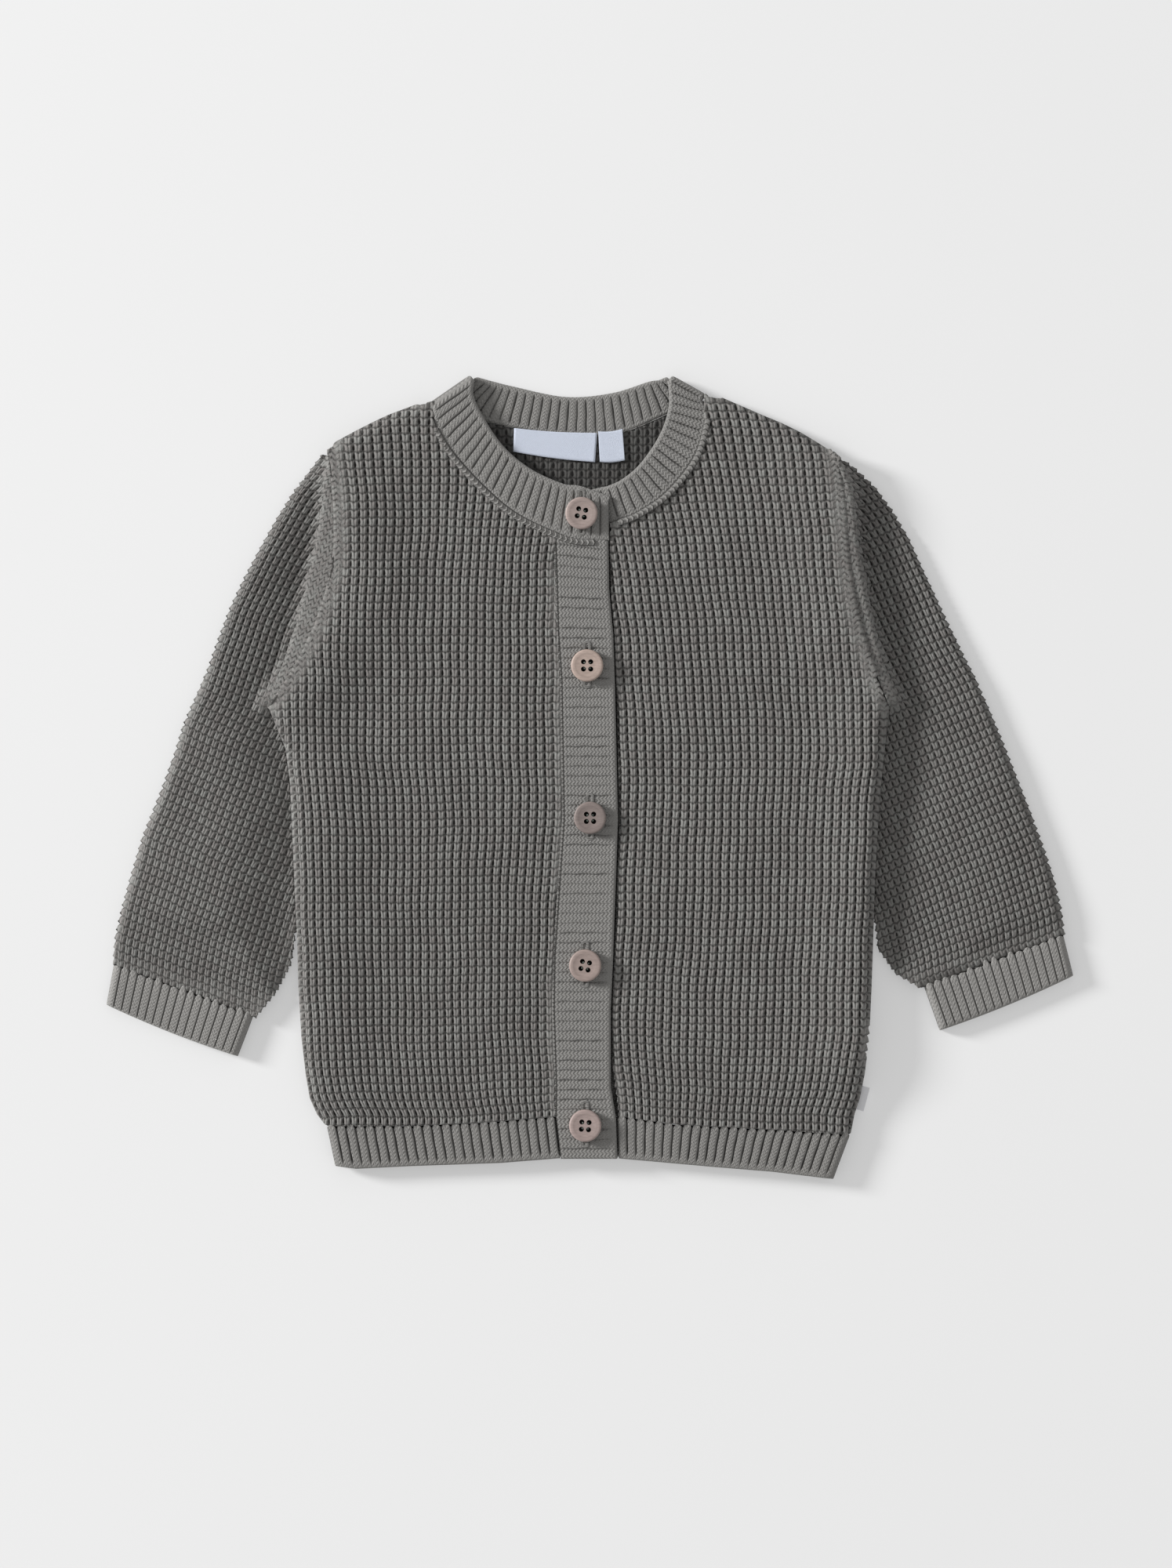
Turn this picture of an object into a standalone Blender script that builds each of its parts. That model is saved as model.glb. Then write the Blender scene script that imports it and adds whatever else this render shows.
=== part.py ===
"""Baby cardigan in waffle knit, buttoned and laid flat, face up.

Every piece that is knitted, linked or sewn on is one closed wall of cloth at its real size.
Frame: +X towards the wearer's left, +Y towards the neck, +Z up from the surface that it lies on.
Tables and sizes are in millimetres. A Side holds what differs between the two halves, because
the garment lies a little unevenly.
"""

import math
from collections import namedtuple

import bmesh
import bpy
from mathutils import Vector

MM = 0.001

# ---------------------------------------------------------------- driving dimensions
KNIT_WALL = 2.3            # waffle knit, both faces of the stitch included
RIB_WALL = 1.7             # ribbed trim, under the raised ribs
RIB_RISE = 0.5             # height of a rib above its groove
RIB_FLAT = 0.66            # share of a rib's pitch that is its flat top
SEAM_GAP = 0.32            # room between pieces that are linked or sewn together
CURVED_GAP = 0.48          # the same at a curved seam, whose corners the faces cut
LAYER_GAP = 0.3            # room between layers that lie on each other

BODY_TOP = 6.8             # top of the fronts above the surface
BODY_EDGE_TOP = 4.5        # top of the fronts at their rolled side edges
BODY_ROLL = 5.0            # width over which a side edge rolls down
PLACKET_SAG = 0.6          # drop of a front beside the under band
SAG_WIDTH = 14.0           # width over which it drops
SEAM_TOP = 7.0             # top of the cloth along an armhole seam
SEAM_WIDTH = 8.0           # width over which a front rises to it
CREST_TOP = 7.7            # top of the fold beside the armhole seam
FOOT_TOP = 5.1             # sleeve top at the foot of that fold
SLEEVE_TOP = 5.9           # sleeve top along its middle
FOLD_DROP = 1.4            # width over which the fold drops to the sleeve
FOLD_FADE = 22.0           # length over which the fold fades out at the underarm
SLEEVE_EDGE_TOP = 4.1      # top of the sleeve at its underarm seam
SLEEVE_CREST_TOP = 4.7     # top of the sleeve just inside that seam
SLEEVE_FOLD_TOP = 2.3      # where the outer edge of the sleeve folds over
SLEEVE_ROLL = 3.4          # width of the rounded edges of a sleeve
CROWN_WIDTH = 40.0         # a sleeve narrower than this is crowned less
TOUCH_END = 8.0            # the sleeve leaves the body this far above its inner table
CUFF_TOP = 4.1             # top of a cuff under its ribs
CUFF_ROLL = 2.6            # width of the rounded edges of a cuff
HEM_TOP = 5.7              # top of the front hem under its ribs
HEM_EDGE_TOP = 4.2         # the same at its rolled side edge
BACK_HEM_WALL = 2.0        # the back hem, its ribs pressed flat
BACK_HEM_INSET = 0.4       # how far its ends lie inside the front hem's
BACK_HEM_RISE = 0.3        # how far its edge lies above the front hem's
BACK_HEM_COLUMNS = 20
UNDER_BAND_FLOOR = 2.6     # underside of the button band
UNDER_BAND_WALL = 1.4      # the button band is pressed a little thinner
UNDER_BAND_INSET = 1.0     # how far its edge lies inside the buttonhole band's seam
UNDER_BAND_SHOW = 0.15     # how far it stands out past the buttonhole band's free edge
TOP_BAND_FLOOR = 4.9       # underside of the buttonhole band

HEM_PITCH = 3.52           # spacing of the ribs
PLACKET_PITCH = 3.7
CUFF_RIBS = 17
NECK_PITCH = 3.45

BUTTON_RADIUS = 6.35       # a 20-line button
BUTTON_THICKNESS = 2.6
BUTTON_EDGE = 0.8          # rounding of the rim
BUTTON_EDGE_STEPS = 2
BUTTON_DISH = 0.35         # depth of the shallow dish in its face
BUTTON_DISH_RADIUS = 3.94  # the dish's level floor
BUTTON_LIP_RADIUS = 4.7    # where the dish meets the rim
BUTTON_HOLE_RADIUS = 0.9
BUTTON_HOLE_SPACING = 2.9
BUTTON_SIDES = 20
HOLE_SIDES = 6

LABEL_WALL = 0.8           # woven ribbon, folded double
LABEL_LIFT = 0.35          # how far the free edge of a neck label lifts
LABEL_SAG = 0.5            # how far its middle hangs below its ends
LABEL_COLUMNS = 6
SIDE_LABEL_REACH = 2.9     # how far the side tab stands out of the seam
SIDE_LABEL_DROP = 0.9      # how far its free edge slopes towards the hem
SIDE_LABEL_ROOT_Z = 1.7    # middle of the tab at the seam and at its free edge
SIDE_LABEL_TIP_Z = 1.5

At = namedtuple("At", "x y")
Band = namedtuple("Band", "seam_x seam_y free_x free_y middle_z")
Placket = namedtuple("Placket", "y seam_x free_x")
Cuff = namedtuple("Cuff", "outer_top inner_top outer_end inner_end")
Button = namedtuple("Button", "x y turn")
Side = namedtuple("Side", "name sign side armhole fold shoulder outer lower inner sleeve_end cuff")

# ---------------------------------------------------------------- outlines of the two halves
RIGHT_SIDE = Side(
    name="right",
    sign=-1,
    # side edge, from the hem up to the underarm
    side=[At(-98.4, -131.9), At(-101.9, -127.1), At(-104.6, -121.2), At(-106.1, -112.4),
          At(-107.8, -97.6), At(-108.7, -85.8), At(-109.3, -62.2), At(-110.8, -32.7),
          At(-112.0, -3.2), At(-113.7, 10.0), At(-119.9, 24.8)],
    # armhole seam, from the underarm up to the shoulder
    armhole=[At(-119.9, 24.8), At(-112.0, 36.6), At(-106.6, 46.3), At(-102.2, 55.8),
             At(-99.0, 65.2), At(-96.0, 76.4), At(-94.8, 86.7), At(-94.8, 97.1),
             At(-95.4, 107.4), At(-96.6, 116.2), At(-98.1, 123.3)],
    # crest of the fold that lies beside the armhole seam
    fold=[At(-121.6, 24.6), At(-119.0, 31.6), At(-116.1, 39.2), At(-113.1, 50.7),
          At(-110.2, 61.1), At(-107.2, 73.5), At(-104.3, 85.3), At(-102.5, 97.1),
          At(-101.0, 107.4), At(-99.9, 114.8), At(-99.6, 121.2)],
    # shoulder line, from the armhole in to the neckband
    shoulder=[At(-98.1, 123.3), At(-94.3, 125.4), At(-90.1, 127.7), At(-85.7, 130.1),
              At(-77.7, 134.0), At(-71.5, 136.8), At(-64.2, 139.2), At(-61.6, 139.8)],
    # outer edge of the sleeve: from the shoulder to level with the underarm, then to the cuff
    outer=[At(-98.5, 123.0), At(-103.7, 115.9), At(-111.1, 106.5), At(-117.0, 97.1),
           At(-122.3, 87.6), At(-127.0, 79.4), At(-132.9, 67.6), At(-137.9, 55.8),
           At(-141.7, 44.0), At(-146.5, 32.2)],
    lower=[At(-146.5, 32.2), At(-152.1, 20.4), At(-155.6, 8.6), At(-159.7, -3.2),
           At(-164.8, -15.0), At(-169.2, -26.8), At(-172.4, -38.6), At(-175.7, -50.4),
           At(-178.4, -62.2), At(-178.8, -71.2)],
    # inner edge of the sleeve, where it has left the body
    inner=[At(-112.8, -73.5), At(-118.7, -83.2)],
    sleeve_end=At(-125.4, -91.0),
    cuff=Cuff(At(-178.7, -71.6), At(-126.4, -91.0), At(-181.4, -86.1), At(-132.0, -105.5)),
)
LEFT_SIDE = Side(
    name="left",
    sign=1,
    side=[At(97.8, -135.1), At(99.3, -127.1), At(101.3, -121.2), At(103.1, -112.4),
          At(104.9, -97.6), At(105.5, -85.8), At(106.3, -62.2), At(107.2, -32.7),
          At(109.3, -3.2), At(111.1, 13.6), At(112.5, 24.8)],
    armhole=[At(112.5, 24.8), At(109.3, 32.2), At(105.8, 41.0), At(102.8, 49.9),
             At(99.9, 60.2), At(97.8, 72.0), At(96.3, 82.3), At(95.7, 91.2),
             At(95.1, 103.0), At(93.4, 114.8), At(90.4, 121.6)],
    fold=[At(114.0, 24.6), At(112.6, 30.1), At(111.4, 36.3), At(109.6, 42.5),
          At(107.2, 52.8), At(105.2, 63.1), At(103.7, 70.5), At(101.9, 78.8),
          At(100.4, 87.0), At(99.2, 104.0), At(95.0, 118.2)],
    shoulder=[At(90.4, 121.6), At(87.8, 123.0), At(84.5, 125.4), At(80.7, 127.7),
              At(76.3, 130.1), At(70.1, 132.9), At(63.3, 135.6), At(58.9, 137.6),
              At(52.7, 140.4), At(47.5, 142.4)],
    outer=[At(90.8, 121.4), At(95.7, 118.3), At(102.5, 113.6), At(109.0, 106.5),
           At(114.0, 99.4), At(119.6, 90.0), At(124.3, 79.4), At(129.9, 67.6),
           At(135.4, 55.8), At(141.2, 44.0), At(145.3, 36.0)],
    lower=[At(145.3, 36.0), At(152.1, 20.4), At(157.1, 8.6), At(161.5, -3.2),
           At(166.2, -15.0), At(170.7, -26.8), At(174.5, -38.6), At(177.4, -50.4),
           At(178.5, -60.2)],
    inner=[At(113.7, -72.9), At(118.6, -78.0)],
    sleeve_end=At(124.6, -80.0),
    cuff=Cuff(At(178.3, -60.65), At(126.0, -79.9), At(181.9, -75.2), At(131.7, -95.8)),
)

# where the ribbed hem starts and ends, from the wearer's right to the left
HEM_START = [At(-98.4, -131.9), At(-66.8, -131.9), At(-40.0, -130.6), At(-11.7, -128.3),
             At(12.2, -128.3), At(31.7, -131.3), At(63.9, -133.0), At(97.8, -135.1)]
HEM_END = [At(-95.3, -146.6), At(-87.2, -147.6), At(-66.8, -146.6), At(-32.9, -145.4),
           At(-11.7, -143.7), At(10.8, -143.7), At(46.5, -146.9), At(68.6, -148.7),
           At(91.6, -151.5)]

# the buttonhole band, from the neck down
PLACKET = [Placket(87.8, -12.5, 7.2), Placket(69.6, -11.9, 7.5), Placket(52.8, -11.4, 9.0),
           Placket(35.7, -10.2, 9.6), Placket(-16.5, -9.3, 10.8), Placket(-67.6, -12.8, 9.0),
           Placket(-87.3, -13.1, 8.1), Placket(-116.8, -12.2, 8.1),
           Placket(-128.3, -12.4, 10.0), Placket(-143.7, -10.6, 10.5)]
UNDER_BAND_TOP = 90.6

# the neckband, a section for each place where it bends, in three runs joined by its folds
NECK_RIGHT = [Band(7.5, 88.2, 7.5, 104.7, 6.15), Band(-4.0, 88.4, -3.4, 108.5, 6.1),
              Band(-13.4, 91.4, -9.9, 109.4, 6.0), Band(-28.2, 98.8, -22.0, 115.0, 5.8),
              Band(-40.6, 109.4, -32.3, 123.6, 5.6), Band(-51.5, 121.5, -40.0, 135.0, 5.4),
              Band(-57.4, 131.2, -43.4, 142.6, 5.2)]
NECK_BACK = [Band(-52.4, 136.8, -38.0, 148.7, 1.1), Band(-33.2, 131.9, -28.5, 146.2, 1.1),
             Band(-10.5, 128.3, -9.0, 142.3, 1.1), Band(10.5, 128.6, 8.4, 143.7, 1.1),
             Band(26.7, 135.1, 22.0, 147.9, 1.1), Band(36.0, 138.6, 26.7, 149.0, 1.1)]
NECK_LEFT = [Band(44.0, 134.6, 29.8, 138.2, 5.2), Band(39.7, 119.8, 26.4, 127.7, 5.3),
             Band(29.1, 106.2, 19.3, 117.1, 5.0), Band(18.1, 98.5, 12.5, 111.2, 4.2),
             Band(10.8, 95.6, 6.9, 108.6, 3.75), Band(-3.4, 91.2, -4.9, 105.9, 3.7)]
# the two folds of the neckband, as they show from above
NECK_FOLD_RIGHT = Band(-60.3, 139.8, -44.8, 150.5, 0.0)
NECK_FOLD_LEFT = Band(43.5, 143.4, 31.1, 150.3, 0.0)
NECK_FOLD_STEPS = 5
NECK_RUN_STEPS = 40

BUTTONS = [Button(-2.9, 98.1, -12), Button(-0.8, 41.1, 0), Button(0.3, -15.9, 0),
           Button(-1.5, -71.2, -12), Button(-1.5, -131.1, -4)]

NECK_LABEL = [At(-28.5, 121.5), At(1.6, 117.7), At(2.5, 128.6), At(-28.2, 130.4)]
SIZE_LABEL = [At(4.0, 117.7), At(13.4, 118.3), At(12.5, 130.1), At(3.4, 129.2)]
SIDE_LABEL_TOP = -116.6
SIDE_LABEL_END = -125.4

# share of a panel's width at each column, closer together at the rolled side edge
PANEL_COLUMNS = [0.0, 0.012, 0.032, 0.06, 0.13, 0.26, 0.42, 0.58, 0.74, 0.88, 1.0]
FRONT_COURSES = [-127.0, -121.0, -112.0, -98.0, -80.0, -60.0, -40.0, -20.0, -3.0, 10.0, 18.0,
                 25.0, 31.0, 37.0, 46.0, 56.0, 66.0, 76.0, 86.0, 89.5, 92.5, 96.0, 99.5, 104.0,
                 109.5, 116.0, 121.5, 125.0, 128.5, 132.0, 135.0]
TOP_COURSE_DROP = 0.9      # how far the last course of a front stays below its corner
LEAST_COURSE = 2.0         # least height of that course
# share of the back's width at each column, closer together along the neck
BACK_COLUMNS = [0.0, 0.09, 0.175, 0.21, 0.25, 0.31, 0.37, 0.43, 0.49, 0.54, 0.58, 0.62, 0.68,
                0.72, 0.75, 0.79, 0.89, 1.0]
BACK_INSET = 0.5           # how far the back's edge lies inside the fronts' edge
BACK_COURSES = [0.0, 0.03, 0.07, 0.13, 0.3, 0.6, 0.82, 0.905, 0.95]   # hem to underarm
BACK_YOKE_ROWS = 10
EDGE_STEPS = (0.9, 2.8)    # columns beside a sleeve's edges, from the edge
EDGE_SHARES = (0.12, 0.3)  # the most of its width that they take where it is narrow
TOP_SHARES = [1.0, 0.8, 0.6, 0.4, 0.2]    # columns over the top of a sleeve, from the fold
FLOOR_SHARES = [0.0, 0.25, 0.6, 1.0]      # columns under it
TUBE_FLOOR_COLUMNS = [0.98, 0.93, 0.82, 0.66, 0.5, 0.34, 0.18, 0.07, 0.02]
UPPER_SLEEVE_ROWS = [0.03, 0.1, 0.2, 0.32, 0.44, 0.56, 0.68, 0.8, 0.91, 1.0]
LOWER_SLEEVE_ROWS = [0.07, 0.14, 0.24, 0.38, 0.54, 0.68, 0.8, 0.9, 1.0]
HEM_SKEW_END = -60.0       # course above which the hem's slope has evened out

GREY = (0.200, 0.195, 0.187)
RIB_GREY = (0.215, 0.211, 0.203)
BUTTON_BROWN = (0.33, 0.27, 0.25)
LABEL_WHITE = (0.60, 0.65, 0.75)


# ---------------------------------------------------------------- curves in plan
def smooth(rows, place):
    """Reads a table as a smooth curve: place runs from 0, its first row, to 1, its last."""
    reach = place * (len(rows) - 1)
    start = min(int(reach), len(rows) - 2)
    t = reach - start
    before = rows[max(start - 1, 0)]
    here = rows[start]
    after = rows[start + 1]
    beyond = rows[min(start + 2, len(rows) - 1)]
    found = []
    for a, b, c, d in zip(before, here, after, beyond):
        bend = (c - a) * t + (2 * a - 5 * b + 4 * c - d) * t ** 2
        found.append(b + 0.5 * (bend + (3 * b - a - 3 * c + d) * t ** 3))
    return type(here)(*found)


def on_line(points, share):
    """The point at a share of a line's length."""
    steps = [math.dist(a[:2], b[:2]) for a, b in zip(points, points[1:])]
    left = share * sum(steps)
    for start, end, step in zip(points, points[1:], steps):
        if left <= step:
            return At(between(start.x, end.x, left / step), between(start.y, end.y, left / step))
        left -= step
    return points[-1]


def curve(rows, steps=48):
    """The smooth curve through a table, as a line of points."""
    return [smooth(rows, n / steps) for n in range(steps + 1)]


def straight(rows, value, across, along):
    """Reads a table's column named across where its column named along has a value."""
    ordered = sorted(rows, key=lambda row: getattr(row, along))
    low = ordered[0]
    for high in ordered[1:]:
        if value <= getattr(high, along):
            break
        low = high
    span = getattr(high, along) - getattr(low, along)
    t = 0.0 if span == 0 else (value - getattr(low, along)) / span
    t = min(max(t, 0.0), 1.0)
    return getattr(low, across) + t * (getattr(high, across) - getattr(low, across))


def moved_out(rows, distance):
    """A line of points moved sideways in plan, to the left of the way that it runs."""
    found = []
    for n, row in enumerate(rows):
        a = rows[max(n - 1, 0)]
        b = rows[min(n + 1, len(rows) - 1)]
        run = math.dist(a, b)
        found.append(At(row.x - (b.y - a.y) / run * distance, row.y + (b.x - a.x) / run * distance))
    return found


def distance_to(rows, x, y):
    """The distance in plan from a point to a line of points."""
    nearest = math.inf
    for a, b in zip(rows, rows[1:]):
        along = ((x - a.x) * (b.x - a.x) + (y - a.y) * (b.y - a.y)) / math.dist(a, b) ** 2
        along = min(max(along, 0.0), 1.0)
        nearest = min(nearest, math.hypot(x - a.x - along * (b.x - a.x),
                                          y - a.y - along * (b.y - a.y)))
    return nearest


def rolled(distance, width):
    """How far a rounded edge has risen, from 0 at the edge to 1 where it is level."""
    t = min(max(distance / width, 0.0), 1.0)
    return math.sqrt(1.0 - (1.0 - t) ** 2)


def rib_places(count):
    """Shares of a run at which ribs change height, each with the height it has there."""
    edge = (1.0 - RIB_FLAT) / 2.0
    found = []
    for n in range(count):
        found.append((n / count, 0.0))
        found.append(((n + edge) / count, RIB_RISE))
        found.append(((n + 1 - edge) / count, RIB_RISE))
    found.append((1.0, 0.0))
    return found


def between(a, b, t):
    return a + (b - a) * t


# ---------------------------------------------------------------- solids
def make_material(name, colour, roughness):
    material = bpy.data.materials.new(name)
    material.use_nodes = True
    shader = material.node_tree.nodes["Principled BSDF"]
    shader.inputs["Base Color"].default_value = (*colour, 1.0)
    shader.inputs["Roughness"].default_value = roughness
    shader.inputs["Metallic"].default_value = 0.0
    return material


def add_object(name, mesh, material, collection):
    mesh.materials.clear()
    mesh.materials.append(material)
    mesh.shade_smooth()
    mesh.set_sharp_from_angle(angle=math.radians(35))
    piece = bpy.data.objects.new(name, mesh)
    collection.objects.link(piece)
    return piece


def cloth_wall(name, outer, inner, material, collection, tube=False):
    """A closed wall of cloth between two grids of points, row by row.

    A tube's rows close on themselves, and its first and last rows stay open ends.
    """
    rows = len(outer)
    columns = len(outer[0])
    points = [point for grid in (outer, inner) for row in grid for point in row]
    under = rows * columns

    def place(row, column):
        return row * columns + column % columns

    faces = []
    for row in range(rows - 1):
        for column in range(columns if tube else columns - 1):
            corner = [place(row, column), place(row, column + 1),
                      place(row + 1, column + 1), place(row + 1, column)]
            faces.append(corner)
            faces.append([under + n for n in reversed(corner)])
    for row in (0, rows - 1):
        for column in range(columns if tube else columns - 1):
            a = place(row, column)
            b = place(row, column + 1)
            faces.append([b, a, under + a, under + b])
    if not tube:
        for column in (0, columns - 1):
            for row in range(rows - 1):
                a = place(row, column)
                b = place(row + 1, column)
                faces.append([a, b, under + b, under + a])

    mesh = bpy.data.meshes.new(name)
    mesh.from_pydata([Vector(point) * MM for point in points], [], faces)
    shape = bmesh.new()
    shape.from_mesh(mesh)
    bmesh.ops.recalc_face_normals(shape, faces=shape.faces)
    shape.to_mesh(mesh)
    shape.free()
    return add_object(name, mesh, material, collection)


# ---------------------------------------------------------------- body
def placket_seam(y):
    return straight(PLACKET, y, "seam_x", "y")


def placket_free_edge(y):
    return straight(PLACKET, y, "free_x", "y")


def front_outline(side):
    """The outer and the inner boundary of a front, each from the hem up to the shoulder."""
    outer = side.side + side.armhole[1:] + side.shoulder[1:]
    if side.sign < 0:
        neck = neck_seam([*NECK_RIGHT, NECK_FOLD_RIGHT])
        edge = [At(row.seam_x, row.y) for row in reversed(PLACKET)]
    else:
        neck = list(reversed(neck_seam([NECK_FOLD_LEFT, *NECK_LEFT])))
        edge = [At(row.free_x + SEAM_GAP, row.y) for row in reversed(PLACKET)]
    neck = [point for point in neck if abs(point.x) > abs(edge[-1].x) and point.y > edge[-1].y]
    return outer, moved_out(edge + neck, -side.sign * CURVED_GAP)


def body_top(side, x, y):
    """Height of the fronts: level, rolled down at the side and shoulder edges."""
    edge = min(distance_to(side.side, x, y), distance_to(side.shoulder, x, y))
    top = between(BODY_EDGE_TOP, BODY_TOP, rolled(edge, BODY_ROLL))
    armhole = distance_to(side.armhole, x, y)
    rise = (SEAM_TOP - BODY_TOP) * max(0.0, 1.0 - armhole / SEAM_WIDTH)
    top += rise * rolled(edge, BODY_ROLL)
    if side.sign > 0:
        beside = max(0.0, 1.0 - abs(x - placket_free_edge(y)) / SAG_WIDTH)
        top -= PLACKET_SAG * beside
    return top


def make_front(side, material, collection):
    outer_edge, inner_edge = front_outline(side)
    top_course = side.shoulder[-1].y - TOP_COURSE_DROP
    lowest = side.side[0].y
    middle = [y for y in FRONT_COURSES if y < top_course - LEAST_COURSE]
    courses = [lowest, *middle, top_course]
    outer = []
    inner = []
    for course in courses:
        out_x = straight(outer_edge, course, "x", "y")
        in_x = straight(inner_edge, course, "x", "y")
        skew = min(max((HEM_SKEW_END - course) / (HEM_SKEW_END - lowest), 0.0), 1.0)
        top_row = []
        under_row = []
        for share in PANEL_COLUMNS:
            x = between(out_x, in_x, share)
            y = course + skew * (straight(HEM_START, x, "y", "x") - lowest)
            if course == lowest:
                y += SEAM_GAP
            top = body_top(side, x, y)
            top_row.append((x, y, top))
            under_row.append((x, y, max(top - KNIT_WALL, KNIT_WALL + LAYER_GAP)))
        outer.append(top_row)
        inner.append(under_row)
    return cloth_wall(f"{side.name}_front", outer, inner, material, collection)


def neck_seam(rows):
    """The line where the neckband is linked on, as a smooth curve."""
    return [At(row.seam_x, row.seam_y) for row in curve(rows)]


def back_top_edge(right_fold, left_fold):
    """Upper edge of the back: both shoulders, and the neck seam just below the neckband."""
    neck = moved_out(neck_seam([right_fold, *NECK_BACK, left_fold]), -CURVED_GAP)
    right = [row for row in RIGHT_SIDE.shoulder if row.x < neck[0].x - 1.0]
    left = [row for row in LEFT_SIDE.shoulder if row.x > neck[-1].x + 1.0]
    return right + neck + list(reversed(left))


def make_back(right_fold, left_fold, material, collection):
    """The back lies level on the surface, a little inside the fronts' outline."""
    top_edge = back_top_edge(right_fold, left_fold)
    underarm = RIGHT_SIDE.side[-1].y
    outer = []
    inner = []

    def add_row(low, high, rise):
        """A row at a share of the height from one edge of the back to another."""
        edges = []
        for side in (RIGHT_SIDE, LEFT_SIDE):
            ends = (side.side[0].y + SEAM_GAP, underarm, side.shoulder[0].y)
            course = between(ends[low], ends[high], rise)
            edge = straight(side.side + side.armhole[1:], course, "x", "y")
            edges.append(edge - side.sign * BACK_INSET)
        row = []
        for share in BACK_COLUMNS:
            x = between(*edges, share)
            ends = (straight(HEM_START, x, "y", "x") + SEAM_GAP, underarm,
                    straight(top_edge, x, "y", "x"))
            row.append((x, between(ends[low], ends[high], rise)))
        outer.append([(x, y, KNIT_WALL) for x, y in row])
        inner.append([(x, y, 0.0) for x, y in row])

    for rise in BACK_COURSES:
        add_row(0, 1, rise)
    for step in range(BACK_YOKE_ROWS + 1):
        add_row(1, 2, step / BACK_YOKE_ROWS)
    return cloth_wall("back_panel", outer, inner, material, collection)


# ---------------------------------------------------------------- sleeves and cuffs
def flat_tube(name, sections, columns, wall, roll, material, collection):
    """A tube of cloth pressed flat on the surface.

    A section gives a point in plan and the height of the cloth there, for each share of the
    way across. Columns are pairs of such a share and the rise of a rib at it. The first and
    last are the tube's two folded edges, which stand halfway up.
    """
    last = len(columns) - 1
    outer = []
    inner = []
    for section in sections:
        width = math.dist(section(0.0)[0], section(1.0)[0])
        margin = wall / width
        upper = []
        roof = []
        for n, (share, rise) in enumerate(columns):
            point, top = section(share)
            inside = section(between(margin, 1.0 - margin, share))[0]
            edge = min(share, 1.0 - share) * width
            level = top * between(0.5, 1.0, rolled(edge, roll))
            ceiling = max(level - wall, wall + LAYER_GAP)
            if n in (0, last):
                rise = 0.0
                ceiling = wall + LAYER_GAP / 2.0
            upper.append((*point, level + rise))
            roof.append((*inside, ceiling))
        lower = [(*section(share)[0], 0.0) for share in TUBE_FLOOR_COLUMNS]
        floor = [(*section(between(margin, 1.0 - margin, share))[0], wall)
                 for share in TUBE_FLOOR_COLUMNS]
        outer.append(upper + lower)
        inner.append(roof + floor)
    return cloth_wall(name, outer, inner, material, collection, tube=True)


def sleeve_halves(side):
    """The lines that run down a sleeve, above and then below the underarm.

    Each half has its outer edge, the foot and the crest of the fold, and the seam.
    """
    outward = side.sign
    seam = moved_out(list(reversed(side.armhole)), outward * CURVED_GAP)
    crest = list(reversed(side.fold))
    foot = moved_out(crest, outward * FOLD_DROP)
    touching = [row for row in reversed(side.side[:-1]) if row.y > side.inner[0].y + TOUCH_END]
    inner = [*moved_out(touching, outward * CURVED_GAP), *side.inner, side.sleeve_end]
    inner_seam = [seam[-1], *inner]
    inner_crest = [crest[-1], *moved_out(inner, outward * EDGE_STEPS[0])]
    inner_foot = [foot[-1], *moved_out(inner, outward * EDGE_STEPS[1])]
    return (side.outer, foot, crest, seam), (side.lower, inner_foot, inner_crest, inner_seam)


def sleeve_section(lines, reach, upper):
    """Points round a section of a sleeve, from its seam over the top and back below.

    The sleeve is one sheet, folded at its outer edge, whose two sides meet at the seam. Its
    upper half, beside the armhole, has a fold that stands up.
    """
    outer, foot, crest, seam = [on_line(line, reach) for line in lines]
    width = math.dist(outer, foot)
    raised = 0.0
    if upper:
        raised = min(1.0, math.dist(crest, lines[2][-1]) / FOLD_FADE)
    inner_top = between(SLEEVE_EDGE_TOP, SEAM_TOP, raised)
    crest_top = between(SLEEVE_CREST_TOP, CREST_TOP, raised)
    margin = min(KNIT_WALL, 0.4 * width)

    outside = [(*seam, inner_top), (*crest, crest_top)]
    inside = [(*seam, max(inner_top - KNIT_WALL, KNIT_WALL + LAYER_GAP)),
              (*crest, max(crest_top - KNIT_WALL, KNIT_WALL + LAYER_GAP))]
    near, far = [min(step / width, most) for step, most in zip(EDGE_STEPS, EDGE_SHARES)]
    shares = [between(far, 1.0, share) for share in TOP_SHARES]
    for share in [*shares, far, near]:
        crown = math.sin(math.pi * share) * min(1.0, width / CROWN_WIDTH)
        top = between(FOOT_TOP, SLEEVE_TOP, crown)
        top *= between(0.5, 1.0, rolled(share * width, SLEEVE_ROLL))
        point = on_line([outer, foot], share)
        inward = on_line([outer, foot], between(margin / width, 1.0, share))
        outside.append((*point, top))
        inside.append((*inward, max(top - KNIT_WALL, KNIT_WALL + LAYER_GAP)))
    outside.append((*outer, SLEEVE_FOLD_TOP))
    inside.append((*on_line([outer, foot], margin / width), KNIT_WALL + LAYER_GAP / 2.0))
    for share in FLOOR_SHARES:
        outside.append((*on_line([outer, seam], between(near, 1.0, share)), 0.0))
        inside.append((*on_line([outer, seam], between(margin / width, 1.0, share)), KNIT_WALL))
    return outside, inside


def make_sleeve(side, material, collection):
    upper, lower = sleeve_halves(side)
    sections = []
    for reach in UPPER_SLEEVE_ROWS:
        sections.append(sleeve_section(upper, reach, True))
    for reach in LOWER_SLEEVE_ROWS:
        sections.append(sleeve_section(lower, reach, False))
    outer = [outside for outside, inside in sections]
    inner = [inside for outside, inside in sections]
    return cloth_wall(f"{side.name}_sleeve", outer, inner, material, collection)


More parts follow.
